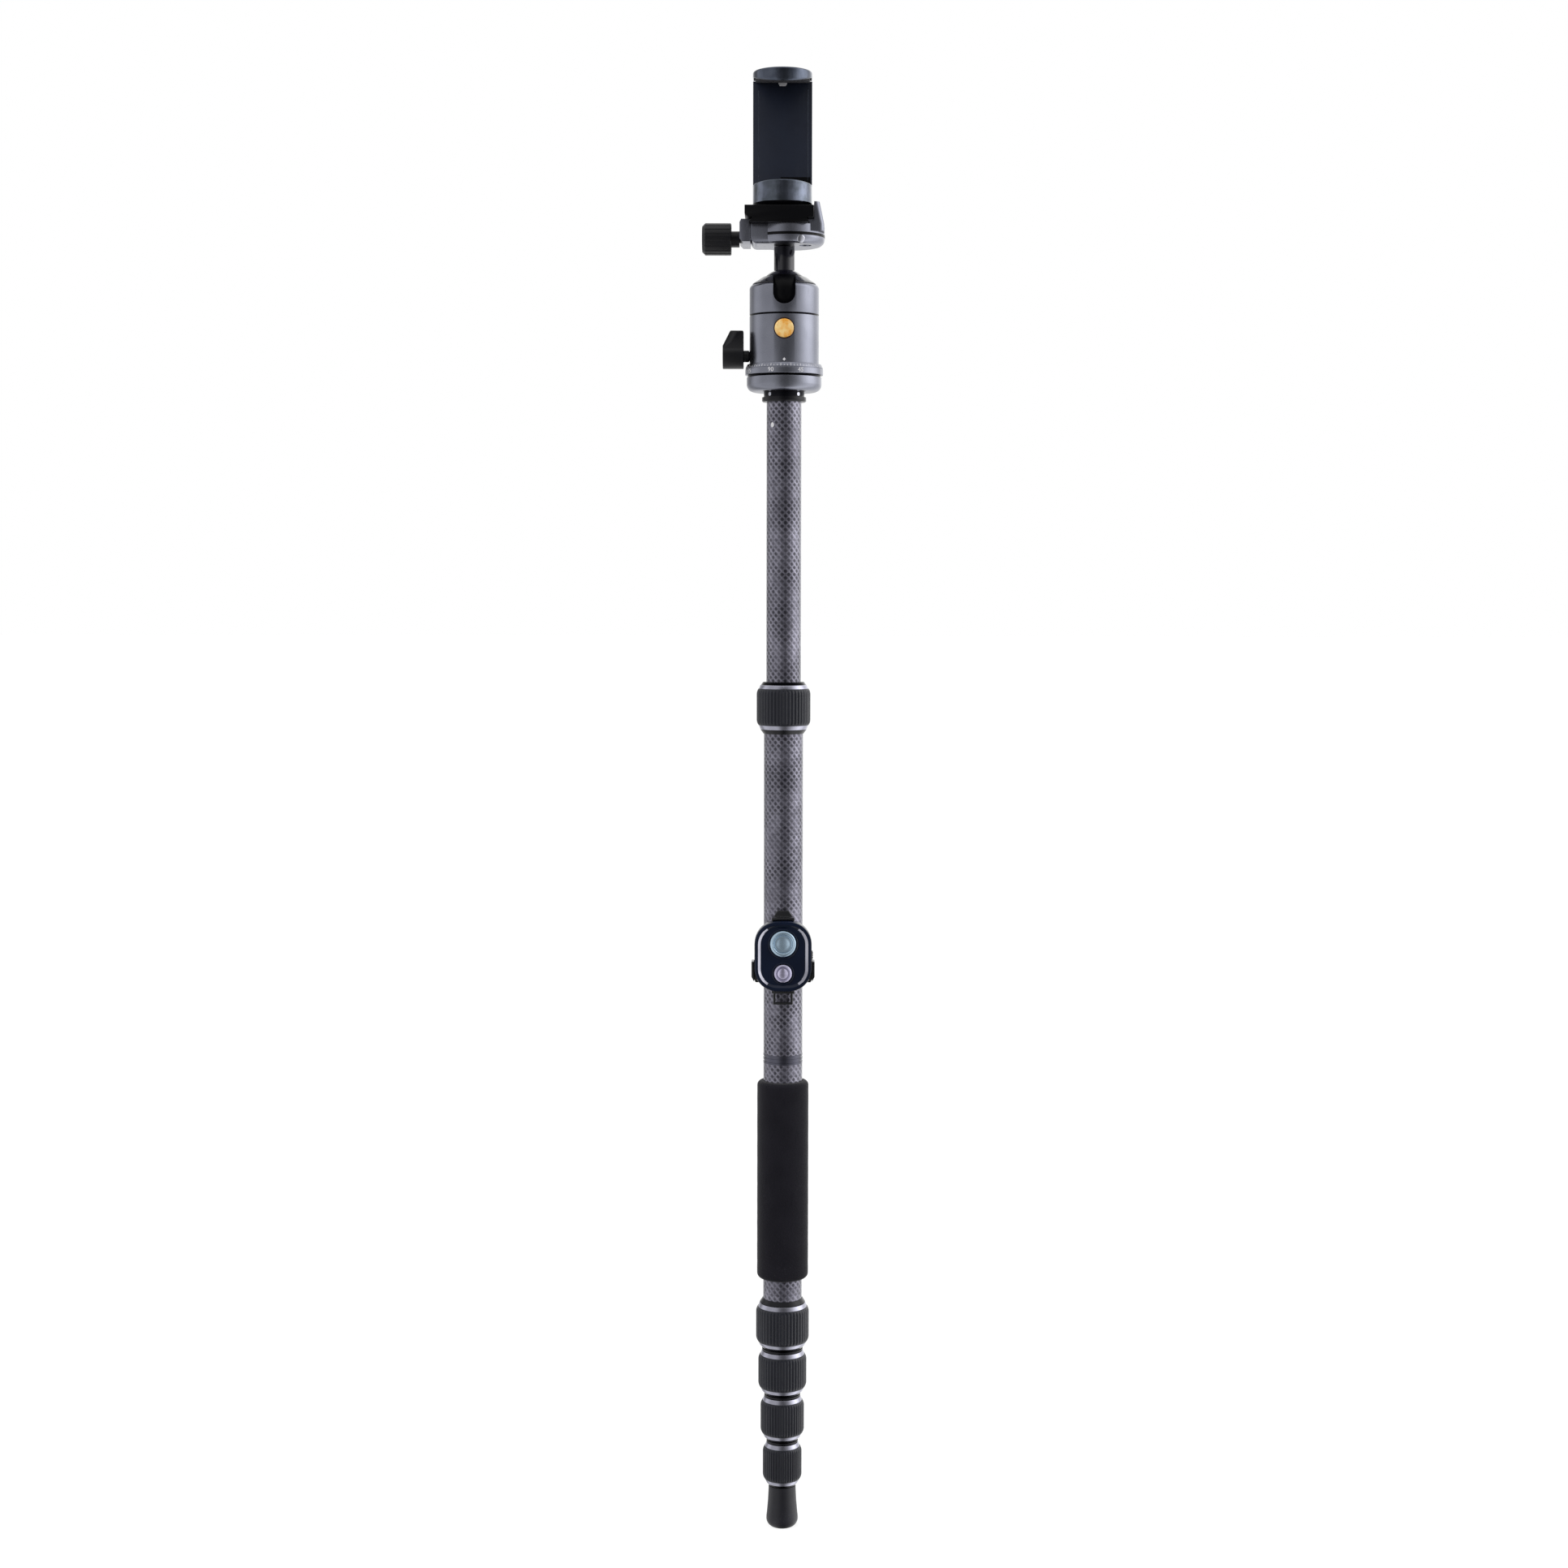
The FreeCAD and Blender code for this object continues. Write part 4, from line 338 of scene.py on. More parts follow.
def wrapped(piece: Piece, radius: float, turn: float, height: float) -> None:
    """Wrap a flat mark that lies in the XY plane round the upright axis.

    Args:
        piece: the flat mark, its X across and its Y upwards.
        radius: the surface's radius, in millimetres.
        turn: the mark's middle, in degrees to the right of the front.
        height: the mark's middle, in millimetres.
    """
    settle(piece)
    for vertex in piece.data.vertices:
        across, up, out = vertex.co
        angle = math.radians(turn) + across / (radius * MM)
        reach = radius * MM + out
        vertex.co = (reach * math.sin(angle), -reach * math.cos(angle), height * MM + up)
    piece.data.update()


def printed(name: str, words: str, height: float) -> Piece:
    """Plain figures as a thin mesh in the XY plane, centred on the origin.

    Args:
        name: the piece's name.
        words: the figures.
        height: their size, in millimetres.

    Returns:
        The piece.
    """
    text = begin(bpy.ops.object.text_add, name, location=(0, 0, 0)).data
    text.body = words
    text.align_x = "CENTER"
    text.align_y = "CENTER"
    text.size = height * MM * 1.4
    text.extrude = 0.025 * MM
    text.resolution_u = 3
    bpy.ops.object.convert(target="MESH")
    return bpy.context.object


def joined(name: str, pieces: Sequence[Piece]) -> Piece:
    """Join several pieces into one.

    Args:
        name: the name of the whole.
        pieces: the pieces.

    Returns:
        The one piece.
    """
    take(pieces[0])
    for piece in pieces:
        piece.select_set(True)
    bpy.ops.object.join()
    whole = bpy.context.object
    whole.name = name
    return whole


# node tools


def tone(code: str) -> tuple[float, ...]:
    """A linear colour and 1, from six hexadecimal digits after a hash sign."""
    parts = [int(code[k:k + 2], 16) / 255 for k in (1, 3, 5)]
    return (*(p / 12.92 if p <= 0.04045 else ((p + 0.055) / 1.055) ** 2.4 for p in parts), 1.0)


class Wiring:
    """A node tree with short calls that add nodes and join them."""

    def __init__(self, tree: NodeTree) -> None:
        """Keep the tree that the nodes go in."""
        self.tree = tree

    def feed(self, socket: Socket, value: object) -> None:
        """Join a socket to an input, or set the input.

        Args:
            socket: the input.
            value: a socket, a plain value, or None to leave the input alone.
        """
        if isinstance(value, Socket):
            self.tree.links.new(value, socket)
        elif value is not None:
            socket.default_value = value

    def node(self, kind: str, *values: object, **settings: object) -> bpy.types.Node:
        """Add a node.

        Args:
            kind: its type, without ShaderNode in front.
            values: what its inputs get, in their order.
            settings: its properties.

        Returns:
            The node.
        """
        made = self.tree.nodes.new(kind if kind.startswith("NodeGroup") else f"ShaderNode{kind}")
        for key, value in settings.items():
            setattr(made, key, value)
        for socket, value in zip(made.inputs, values):
            self.feed(socket, value)
        return made

    def out(self, kind: str, *values: object, **settings: object) -> Socket:
        """Add a node and give its first output."""
        return self.node(kind, *values, **settings).outputs[0]

    def math(self, operation: str, *values: object) -> Socket:
        """Add a Math node and give its result."""
        return self.out("Math", *values, operation=operation)

    def axes(self, place: Socket) -> Sequence[Socket]:
        """The X, Y and Z of a place."""
        return self.node("SeparateXYZ", place).outputs

    def mix(self, share: object, first: object, second: object) -> Socket:
        """Mix two colours.

        Args:
            share: how much of the second there is, from 0 to 1.
            first: the first colour.
            second: the second colour.

        Returns:
            The mixed colour.
        """
        made = self.node("Mix", share, data_type="RGBA")
        self.feed(made.inputs[6], first)
        self.feed(made.inputs[7], second)
        return made.outputs[2]

    def spread(self, value: Socket, low: float, high: float, start: object = 0.0,
               end: object = 1.0) -> Socket:
        """Map a value from low and high smoothly on start and end."""
        return self.out("MapRange", value, low, high, start, end, interpolation_type="SMOOTHSTEP")

    def noise(self, place: Socket, scale: object, detail: float = 2.0) -> Socket:
        """Noise from 0 to 1, its scale in lumps in a metre."""
        return self.out("TexNoise", place, None, scale, detail)

    def group(self, effect: NodeTree, place: Socket, *values: object) -> Mapping[str, Socket]:
        """Place an effect, and give its outputs by name."""
        return self.node("Group", place, *values, node_tree=effect).outputs


def cleared(owner: bpy.types.Material | bpy.types.World) -> Wiring:
    """Empty the node tree of a new material or world.

    Args:
        owner: the material or world.

    Returns:
        The tree's wiring.
    """
    owner.use_nodes = True
    owner.node_tree.nodes.clear()
    return Wiring(owner.node_tree)


class Effect(Wiring):
    """A node group in the making, for an effect that several materials share."""

    def __init__(self, name: str, *numbers: str) -> None:
        """Start the group.

        Args:
            name: the group's name.
            numbers: its inputs after Position.
        """
        super().__init__(bpy.data.node_groups.new(name, "ShaderNodeTree"))
        for label, kind in (("Position", "Vector"), *((number, "Float") for number in numbers)):
            self.tree.interface.new_socket(name=label, in_out="INPUT", socket_type=f"NodeSocket{kind}")
        self.place, *self.numbers = self.node("NodeGroupInput").outputs[:len(numbers) + 1]

    def finished(self, **outputs: Socket) -> NodeTree:
        """Give the group its outputs.

        Args:
            outputs: their names and what they get, all numbers.

        Returns:
            The group.
        """
        for label in outputs:
            self.tree.interface.new_socket(name=label, in_out="OUTPUT", socket_type="NodeSocketFloat")
        self.node("NodeGroupOutput", *outputs.values())
        return self.tree


@cache
def slanted_weave() -> NodeTree:
    """Carbon cloth wrapped round a tube, its tows crossing on the slant.

    Returns:
        The group: Tone is 0 in the gaps and lower on the tows that lie under, a painted reflection; Height
            is the tows' crowns.
    """
    e = Effect("slanted_weave", "Around", "Pitch")
    around, pitch = e.numbers
    x, y, z = e.axes(e.place)
    turn = e.math("MULTIPLY", e.math("DIVIDE", e.math("ARCTAN2", y, x), FULL_TURN), around)
    rise = e.math("DIVIDE", z, pitch)
    first, second = e.math("ADD", turn, rise), e.math("SUBTRACT", turn, rise)
    cells = e.math("ADD", e.math("ROUND", first), e.math("ROUND", second))
    over = e.math("FLOORED_MODULO", cells, 2.0)

    def crown(value: Socket) -> Socket:
        """The rise across a tow, 1 in its middle."""
        part = e.math("FRACT", value)
        return e.math("MULTIPLY", e.math("MULTIPLY", part, e.math("SUBTRACT", 1.0, part)), 4.0)

    crown_first, crown_second = crown(first), crown(second)
    hole = e.math("MULTIPLY", crown_first, crown_second)
    height = e.math("SUBTRACT", 1.0, hole)
    lean = e.math("SUBTRACT", crown_second, crown_first)
    near = e.math("MULTIPLY_ADD", e.math("SUBTRACT", over, 0.5), height, lean)
    upper = e.math("GREATER_THAN", near, 0.0)
    along = e.out("Mix", upper, None, second, first, data_type="FLOAT")
    fibre = e.math("SINE", e.math("MULTIPLY", along, FULL_TURN * 6))
    faded = e.spread(e.noise(e.place, 70.0), 0.36, 0.62, 0.62, 0.16)
    gap = e.spread(hole, 0.3, 0.75, 1.0, faded)
    uneven = e.spread(e.noise(e.place, 420.0, 1.0), 0.3, 0.7, -0.14, 0.14)
    # The tows that lie over are painted lighter than those under them: painted reflection.
    tow = e.math("ADD", e.math("MULTIPLY_ADD", upper, 0.2, 0.78), uneven)
    edge = e.spread(e.math("ABSOLUTE", near), 0.0, 0.12, 0.7, 1.0)
    lit = e.math("MULTIPLY", e.math("MULTIPLY", tow, edge), e.math("MULTIPLY_ADD", fibre, 0.06, 0.94))
    return e.finished(Tone=e.math("MULTIPLY", gap, lit), Height=height, Fibre=fibre)


@cache
def fine_grain() -> NodeTree:
    """Two layers of grain, for blasted metal, moulded plastic, rubber and foam.

    Returns:
        The group, with Grain and the wider Cloud.
    """
    e = Effect("fine_grain", "Scale", "Cloud Scale")
    scale, cloud_scale = e.numbers
    cloud = e.spread(e.noise(e.place, cloud_scale, 4.0), 0.3, 0.7)
    return e.finished(Grain=e.noise(e.place, scale, 3.0), Cloud=cloud)


@cache
def scuffs_and_dust() -> NodeTree:
    """Faint scuffs, drawn out upwards, and dust in patches.

    Returns:
        The group, with Scuff and Dust.
    """
    e = Effect("scuffs_and_dust")
    scuff = e.noise(e.out("Mapping", e.place, None, None, (1.0, 1.0, 0.25)), 420.0, 5.0)
    dust = e.spread(e.noise(e.place, 1500.0, 1.0), 0.6, 0.72)
    patch = e.spread(e.noise(e.place, 35.0), 0.4, 0.65)
    return e.finished(Scuff=e.spread(scuff, 0.56, 0.74), Dust=e.math("MULTIPLY", dust, patch))


@cache
def turning_lines() -> NodeTree:
    """Fine lines that a lathe tool leaves round the Z axis.

    Returns:
        The group, with Line.
    """
    e = Effect("turning_lines")
    x, y, z = e.axes(e.place)
    square = e.math("ADD", e.math("POWER", x, 2.0), e.math("POWER", y, 2.0))
    reach = e.math("ADD", e.math("SQRT", square), e.math("MULTIPLY", z, 1.3))
    return e.finished(Line=e.out("TexNoise", None, reach, 9000.0, 2.0, noise_dimensions="1D"))


@cache
def studio_bands(bands: Sequence[Point]) -> NodeTree:
    """Upright bands of light round the object, as a studio's soft boxes and screens give.

    Args:
        bands: the azimuth in degrees to the right of the front, and the light there.

    Returns:
        The group, with the Light for a direction.
    """
    e = Effect("studio_bands")
    x, y, _ = e.axes(e.place)
    azimuth = e.math("ARCTAN2", x, e.math("MULTIPLY", y, -1.0))
    ramp = e.node("ValToRGB", e.math("MULTIPLY_ADD", azimuth, 0.5 / math.pi, 0.5))
    ramp.color_ramp.interpolation = "EASE"
    elements = ramp.color_ramp.elements
    elements[0].position, elements[1].position = 0.0, 1.0
    brightest = 4.0
    for angle, level in bands:
        where = angle / 360 + 0.5
        if where in (0.0, 1.0):
            element = elements[0] if where == 0.0 else elements[len(elements) - 1]
        else:
            element = elements.new(where)
        element.color = (level / brightest, level / brightest, level / brightest, 1.0)
    return e.finished(Light=e.math("MULTIPLY", ramp.outputs[0], brightest))


# finishes


@dataclass(frozen=True)
class Finish:
    """A surface finish, with fine grain and faint scuffs.

    The grain is its lumps in a metre and its height in millimetres.
    """

    name: str
    colour: str
    shade: str
    rough: Point = (0.3, 0.45)
    metallic: float = 0.0
    specular: float = 0.5
    coat: float = 0.0
    coat_rough: float = 0.08
    sheen: float = 0.0
    grain: Point = (2500.0, 0.01)
    dust: float = 0.0
    cloud: float = 60.0
    centre: Triple = (0.0, 0.0, 0.0)
    facing: Facing = Facing.UP
    bands: tuple[Point, ...] = ()
    shade_band_colour: str = "#08080b"
    dust_colour: str = "#8d8d94"

    def banded(self, w: Wiring, place: Socket, colour: Socket) -> Socket:
        """Darken the bands between pairs of heights, painted shade in grooves, seams and the nuts' chamfers.

        Args:
            w: the material's wiring.
            place: the coordinates.
            colour: the colour outside the bands.

        Returns:
            The colour with its bands.
        """
        for low, high in self.bands:
            height = w.axes(place)[2]
            above, below = w.math("GREATER_THAN", height, low * MM), w.math("LESS_THAN", height, high * MM)
            colour = w.mix(w.math("MULTIPLY", above, below), colour, tone(self.shade_band_colour))
        return colour

    def grained(self, w: Wiring, place: Socket) -> Mapping[str, Socket]:
        """Place the finish's grain."""
        return w.group(fine_grain(), place, self.grain[0], self.cloud)

    def surface(self, w: Wiring, place: Socket) -> tuple[Socket, Socket, Socket]:
        """Wire the finish's own pattern.

        Args:
            w: the material's wiring.
            place: the coordinates, centred on the piece's axis.

        Returns:
            The colour, the roughness and the height of the surface.
        """
        grain = self.grained(w, place)
        wear = w.group(scuffs_and_dust(), place)
        colour = w.mix(grain["Cloud"], tone(self.colour), tone(self.shade))
        if self.dust:
            colour = w.mix(w.math("MULTIPLY", wear["Dust"], self.dust), colour, tone(self.dust_colour))
        level = w.math("MULTIPLY_ADD", grain["Grain"], 0.6, w.math("MULTIPLY", wear["Scuff"], 0.4))
        return self.banded(w, place, colour), w.spread(level, 0.1, 0.75, *self.rough), grain["Grain"]

    @cache
    def make(self) -> bpy.types.Material:
        """Make the material, once.

        Returns:
            The material.
        """
        material = bpy.data.materials.new(self.name)
        w = cleared(material)
        place = w.out("Mapping", w.node("TexCoord").outputs["Object"], Vector(self.centre) * MM,
                      self.facing.value, vector_type="TEXTURE")
        colour, rough, height = self.surface(w, place)
        bump = w.node("Bump", 1.0, self.grain[1] * MM)
        w.feed(bump.inputs["Height"], height)
        shader = w.node("BsdfPrincipled", colour, self.metallic, rough)
        for label, value in (
            ("Normal", bump.outputs[0]),
            ("Specular IOR Level", self.specular),
            ("Coat Weight", self.coat),
            ("Coat Roughness", self.coat_rough),
            ("Sheen Weight", self.sheen),
            ("Sheen Roughness", 0.4),
        ):
            w.feed(shader.inputs[label], value)
        w.node("OutputMaterial", shader.outputs[0])
        return material


@dataclass(frozen=True)
class CarbonFinish(Finish):
    """Lacquered carbon cloth round a tube."""

    around: int = 19
    pitch: float = 4.5

    def surface(self, w: Wiring, place: Socket) -> tuple[Socket, Socket, Socket]:
        """Wire the slanted weave, its fibres and the lacquer's clouding.

        Args:
            w: the material's wiring.
            place: the coordinates.

        Returns:
            The colour, the roughness and the height of the surface.
        """
        weave = w.group(slanted_weave(), place, float(self.around), self.pitch * MM)
        lift = w.math("MULTIPLY_ADD", self.grained(w, place)["Cloud"], 0.35, 0.65)
        shade = w.math("MULTIPLY", weave["Tone"], lift)
        colour = w.mix(shade, tone(self.shade), tone(self.colour))
        rough = w.spread(shade, 0.0, 1.0, self.rough[1], self.rough[0])
        return colour, rough, w.math("MULTIPLY_ADD", weave["Fibre"], 0.06, weave["Height"])


@dataclass(frozen=True)
class TurnedFinish(Finish):
    """Metal with fine lathe lines."""

    def surface(self, w: Wiring, place: Socket) -> tuple[Socket, Socket, Socket]:
        """Wire the lathe lines and the grain.

        Args:
            w: the material's wiring.
            place: the coordinates, centred on the lathe's axis.

        Returns:
            The colour, the roughness and the height of the surface.
        """
        line = w.group(turning_lines(), place)["Line"]
        scuff = w.group(scuffs_and_dust(), place)["Scuff"]
        colour = self.banded(w, place, w.mix(line, tone(self.colour), tone(self.shade)))
        level = w.math("MULTIPLY_ADD", line, 0.6, w.math("MULTIPLY", scuff, 0.4))
        height = w.math("MULTIPLY_ADD", self.grained(w, place)["Grain"], 0.4, line)
        return colour, w.spread(level, 0.1, 0.8, *self.rough), height


@dataclass(frozen=True)
class FrameFinish:
    """A plain finish that the frame brings along, used as it is."""

    name: str

    def make(self) -> bpy.types.Material:
        """Find the frame's material."""
        return bpy.data.materials[self.name]


AnyFinish = Finish | FrameFinish


GUNMETAL = Finish("gunmetal_anodised", "#878994", "#7f818c", (0.26, 0.36), 1.0, grain=(5200.0, 0.004))
# The housing's band darkens its groove and the base's band darkens the seam under the degree ring: painted
# shade.
HOUSING = replace(GUNMETAL, name="gunmetal_housing", bands=((811.5, 812.7),))
BASE_METAL = replace(GUNMETAL, name="gunmetal_base", bands=((772.1, 773.65),))
BLACK_METAL = Finish("black_anodised", "#0d0c14", "#12111b", (0.14, 0.26), 0.3, coat=0.5,
                     grain=(5200.0, 0.003))
JOINT_METAL = Finish("joint_anodised", "#484854", "#545461", (0.18, 0.3), 0.9, coat=0.3,
                     grain=(5200.0, 0.003))
STEEL = TurnedFinish("turned_steel", "#b9bac2", "#8d8e97", (0.16, 0.3), 1.0, grain=(4000.0, 0.004))
ORANGE_METAL = Finish("orange_anodised", "#ffdf98", "#efa636", (0.24, 0.36), coat=0.6, grain=(4000.0, 0.004),
                      cloud=230.0, centre=(0, -20, 802.2), facing=Facing.FRONT)
GRIP_RUBBER = Finish("ribbed_rubber", "#12141e", "#171923", (0.36, 0.55), specular=0.4, sheen=0.08,
                     grain=(3800.0, 0.02), dust=0.06)
FOOT_RUBBER = Finish("foot_rubber", "#17171e", "#1d1d26", (0.4, 0.58), specular=0.4, sheen=0.1,
                     grain=(3000.0, 0.03), dust=0.1)
KNOB_RUBBER = Finish("soft_touch_black", "#05050a", "#08080f", (0.34, 0.5), specular=0.4,
                     grain=(4500.0, 0.012), dust=0.03)
FOAM = Finish("closed_cell_foam", "#14131a", "#19181f", (0.85, 0.95), specular=0.2, sheen=0.2,
              grain=(1900.0, 0.1), dust=0.05)
PAD_RUBBER = FrameFinish("pad_rubber")
HOLDER_PLASTIC = Finish("holder_plastic", "#161b29", "#191f2e", (0.3, 0.42), specular=0.4,
                        grain=(3600.0, 0.01), dust=0.02)
JAW_PLASTIC = Finish("jaw_plastic", "#444a57", "#535966", (0.06, 0.17), 1.0, coat=0.2, coat_rough=0.06,
                     grain=(400.0, 0.07), cloud=150.0)
LOWER_JAW = replace(JAW_PLASTIC, name="lower_jaw_plastic", colour="#50565f", shade="#6a707f")
PLATE_BLACK = Finish("plate_black", "#010104", "#020205", (0.3, 0.45), specular=0.2, grain=(4200.0, 0.01))
CASE_GLOSS = Finish("remote_case_gloss", "#0a1326", "#0d172c", (0.05, 0.12), specular=0.2, coat=0.15,
                    coat_rough=0.03, grain=(900.0, 0.001))
# A silver finish for the slopes of the remote's rim: a painted highlight along the glossy rim.
CASE_RIM_HIGHLIGHT = Finish("remote_rim_highlight", "#9c9ca8", "#b2b2bd", (0.12, 0.22), 0.9, grain=(900.0, 0.002))
BALL_BLACK = Finish("ball_black", "#010103", "#020205", (0.3, 0.45), specular=0.15, grain=(5200.0, 0.003))
SLEEVE_BLACK = Finish("sleeve_black", "#08080f", "#0b0b13", (0.22, 0.34), 0.2, specular=0.35,
                      grain=(5200.0, 0.003))
CLIP_PLASTIC = Finish("clip_plastic", "#0e0e12", "#131418", (0.2, 0.32), specular=0.6, coat=0.3,
                      grain=(3600.0, 0.01))
BUTTON_BLUE = TurnedFinish("blue_silver_button", "#9dbdd6", "#c8dbea", (0.12, 0.22), 0.8, coat=0.5,
                           grain=(3000.0, 0.004), centre=(0, -28, 401.8), facing=Facing.FRONT)
BUTTON_VIOLET = replace(BUTTON_BLUE, name="violet_grey_button", colour="#b0abcd", shade="#d0cce2",
                        centre=(0, -28, 382.2))
# A dark reddish rubber for the ring round the orange cap: painted shadow at its edge.
CAP_SHADOW_RUBBER = Finish("cap_shadow_rubber", "#210f0d", "#2a140f", (0.4, 0.55), grain=(3000.0, 0.01))
WHITE_PRINT = Finish("white_print", "#e6e5e8", "#d8d7da", (0.4, 0.5), grain=(6000.0, 0.004))
BOARD = FrameFinish("board_green")


def carbon(around: int) -> CarbonFinish:
    """The carbon finish for a tube with a number of tows round it."""
    return CarbonFinish(f"carbon_{around}", "#908e9d", "#191824", (0.28, 0.4), 0.85, coat=0.5,
                        coat_rough=0.12, grain=(2500.0, 0.12), around=around)


def inlay(piece: Piece, finish: Finish, wanted: Callable[[Vector, Vector], bool]) -> None:
    """Give some of a piece's faces a second finish.

    Args:
        piece: the piece, which has its first finish.
        finish: the second finish.
        wanted: a test of a face's middle, in millimetres, and its normal.
    """
    piece.data.materials.append(finish.make())
    number = len(piece.data.materials) - 1
    for face in piece.data.polygons:
        if wanted(face.center / MM, face.normal):
            face.material_index = number


def dress(node: str, finish: AnyFinish) -> None:
    """Give a CAD node its material."""
    for slot in bpy.data.objects[node].material_slots:
        slot.material = finish.make()


# the monopod's sub-assemblies


class Assembly:
    """A sub-assembly of the monopod, which adds its pieces to the bodies they ride on."""

    def build(self) -> None:
        """Add every piece of the sub-assembly."""

    def add(self, piece: Piece, finish: AnyFinish, slot: Slot, body: str, *replaced: str) -> Piece:
        """Dress a new piece and let it ride on a body.

        Args:
            piece: the piece.
            finish: its finish.
            slot: the record's slot that it belongs to; not used.
            body: the body that carries it.
            replaced: CAD nodes that it stands for.

        Returns:
            The piece.
        """
        piece.data.materials.clear()
        piece.data.materials.append(finish.make())
        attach(piece, body)
        if replaced:
            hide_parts(*replaced)
        LOG.info("%s rides on %s", piece.name, body)
        return piece

    def soften(self, node: str, name: str, finish: Finish, slot: Slot, body: str, edge: float,
               segments: int = 3, **more: object) -> Piece:
        """Put a softened copy in the place of a CAD node."""
        return self.add(softened(node, name, edge, segments, **more), finish, slot, body, node)


@dataclass
class TwistLock(Assembly):
    """One twist lock: sleeve, collet, nut and its ribbed rubber ring."""

    number: int
    tube: float
    body: str
    prefix: str = "leg_lock"
    suffix: str = ""
    lip_on_top: bool = False
    ribs: int = 44
    rise: float = 3.5
    arc: float = 6.0

    def build(self) -> None:
        """Add the ribbed rubber ring and the nut's bright rings, and dress the sleeve and collet."""
        names = {part: f"{self.prefix}_{part}{self.suffix}" for part in ("grip", "nut", "sleeve", "collet")}
        self.add(self.ribbed_grip(*(corner.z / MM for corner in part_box(names["grip"]))), GRIP_RUBBER,
                 Slot.GRIP_RUBBER, self.body, names["grip"])
        low, high = (corner.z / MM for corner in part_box(names["nut"]))
        # The dark band at the nut's lip is painted shade on its chamfer.
        lip = (high - 2.02, high + 1.0) if self.lip_on_top else (low - 1.0, low + 2.02)
        rings = TurnedFinish(f"bright_band_{self.number}", "#b9b9c6", "#9595a4", (0.16, 0.28), 1.0,
                             grain=(4000.0, 0.004), bands=(lip,))
        self.soften(names["nut"], f"{self.prefix}_rings{self.suffix}", rings, Slot.BRIGHT_METAL, self.body,
                    0.3, angle=25)
        dress(names["sleeve"], SLEEVE_BLACK)
        dress(names["collet"], CLIP_PLASTIC)

    def ribbed_grip(self, low: float, high: float) -> Piece:
        """The rubber ring, with rounded ends and upright grooves.

        Args:
            low: the height of its lower end, in millimetres.
            high: the height of its upper end.

        Returns:
            The piece.
        """
        outer, end, inner = self.tube + 4.8, self.tube + 3.6, self.tube + 3.02
        foot, head = low + self.rise, high - self.rise
        outline = [(inner, low), (end, low), *bulge((end, low), (outer, foot), self.arc, 5)]
        outline += [(outer, foot + 1.2), (outer, (low + high) / 2), (outer, head - 1.2), (outer, head)]
        outline += [*bulge((outer, head), (end, high), self.arc, 5), (inner, high)]
        columns = self.ribs * 6
        piece = turned(f"{self.prefix}_rubber{self.suffix}", outline, columns, crease=None)

        def in_groove(place: Vector) -> bool:
            """Whether a point of the rubber's outside lies in one of the chosen columns."""
            column = round(math.atan2(place.y, place.x) / FULL_TURN * columns) % 6
            return column in cells and low + 1 < place.z < high - 1 and math.hypot(*place.xy) > outer - 0.9

        with editing(piece):
            for cells, depth in (((0,), 0.42), ((1, 5), 0.2)):
                choose(piece, in_groove)
                stretch(1 - depth / outer, 1 - depth / outer)
        smooth(piece, 50)
        return piece


@dataclass
class Leg(Assembly):
    """The telescopic leg: five tubes, four twist locks, foam grip, joint ring and foot."""

    tows: tuple[int, ...] = (19, 17, 14, 12, 10)
    radii: tuple[float, ...] = (13.0, 11.45, 9.9, 8.35)

    def build(self) -> None:
        """Add the leg's pieces, and dress its CAD nodes."""
        for number, around in enumerate(self.tows, 1):
            dress(f"leg_tube_{number}", carbon(around))
        self.foot()
        for number, radius in enumerate(self.radii, 1):
            TwistLock(number, radius, f"leg_nut_{number}", suffix=f"_{number}").build()
        self.foam()
        dress("column_joint", JOINT_METAL)
        dress("foot_plug", CLIP_PLASTIC)

    def foot(self) -> None:
        """The flared rubber foot with its grooved sole."""
        outline: Outline = [(0, 0.6)]
        for reach in (2.2, 4.4):
            outline += [(reach - 0.7, 0.6), (reach - 0.4, 0.0), (reach + 0.9, 0.0), (reach + 1.2, 0.6)]
        outline += [(6.3, 0.6), (6.6, 0.0), (7.5, 0.0), *bulge((7.5, 0.0), (10.7, 5.0), 5.6, 8)]
        outline += [(10.62, 7.0), (10.3, 9.6), (9.6, 18.0), (9.2, 26.2), (9.2, 27.4), (8.9, 28.0)]
        outline += [(7.32, 28.0), (7.32, 7.98), (3.02, 7.98), (3.02, 3.0), (0, 3.0)]
        self.add(turned("rubber_foot_sole", outline, closed=False), FOOT_RUBBER, Slot.GRIP_RUBBER,
                 "leg_section_5", "rubber_foot")

    def foam(self) -> None:
        """The foam grip, with soft ends and a surface that isn't quite even."""
        low, high = (corner.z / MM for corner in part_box("foam_grip"))
        outer, inner, bend, rows = 17.15, 13.02, 3.2, 34
        outline = [(inner, low), (outer - bend, low), *bulge((outer - bend, low), (outer, low + bend), bend)]
        for row in range(1, rows):
            z = low + bend + (high - low - 2 * bend) * row / rows
            outline.append((outer + 0.05 * math.sin(row * 2.3) * math.sin(row * 0.9), z))
        outline += [(outer, high - bend), *bulge((outer, high - bend), (outer - bend, high), bend)]
        piece = turned("foam_grip_sleeve", [*outline, (inner, high)], crease=50)
        self.add(piece, FOAM, Slot.FOAM, "leg_top", "foam_grip")


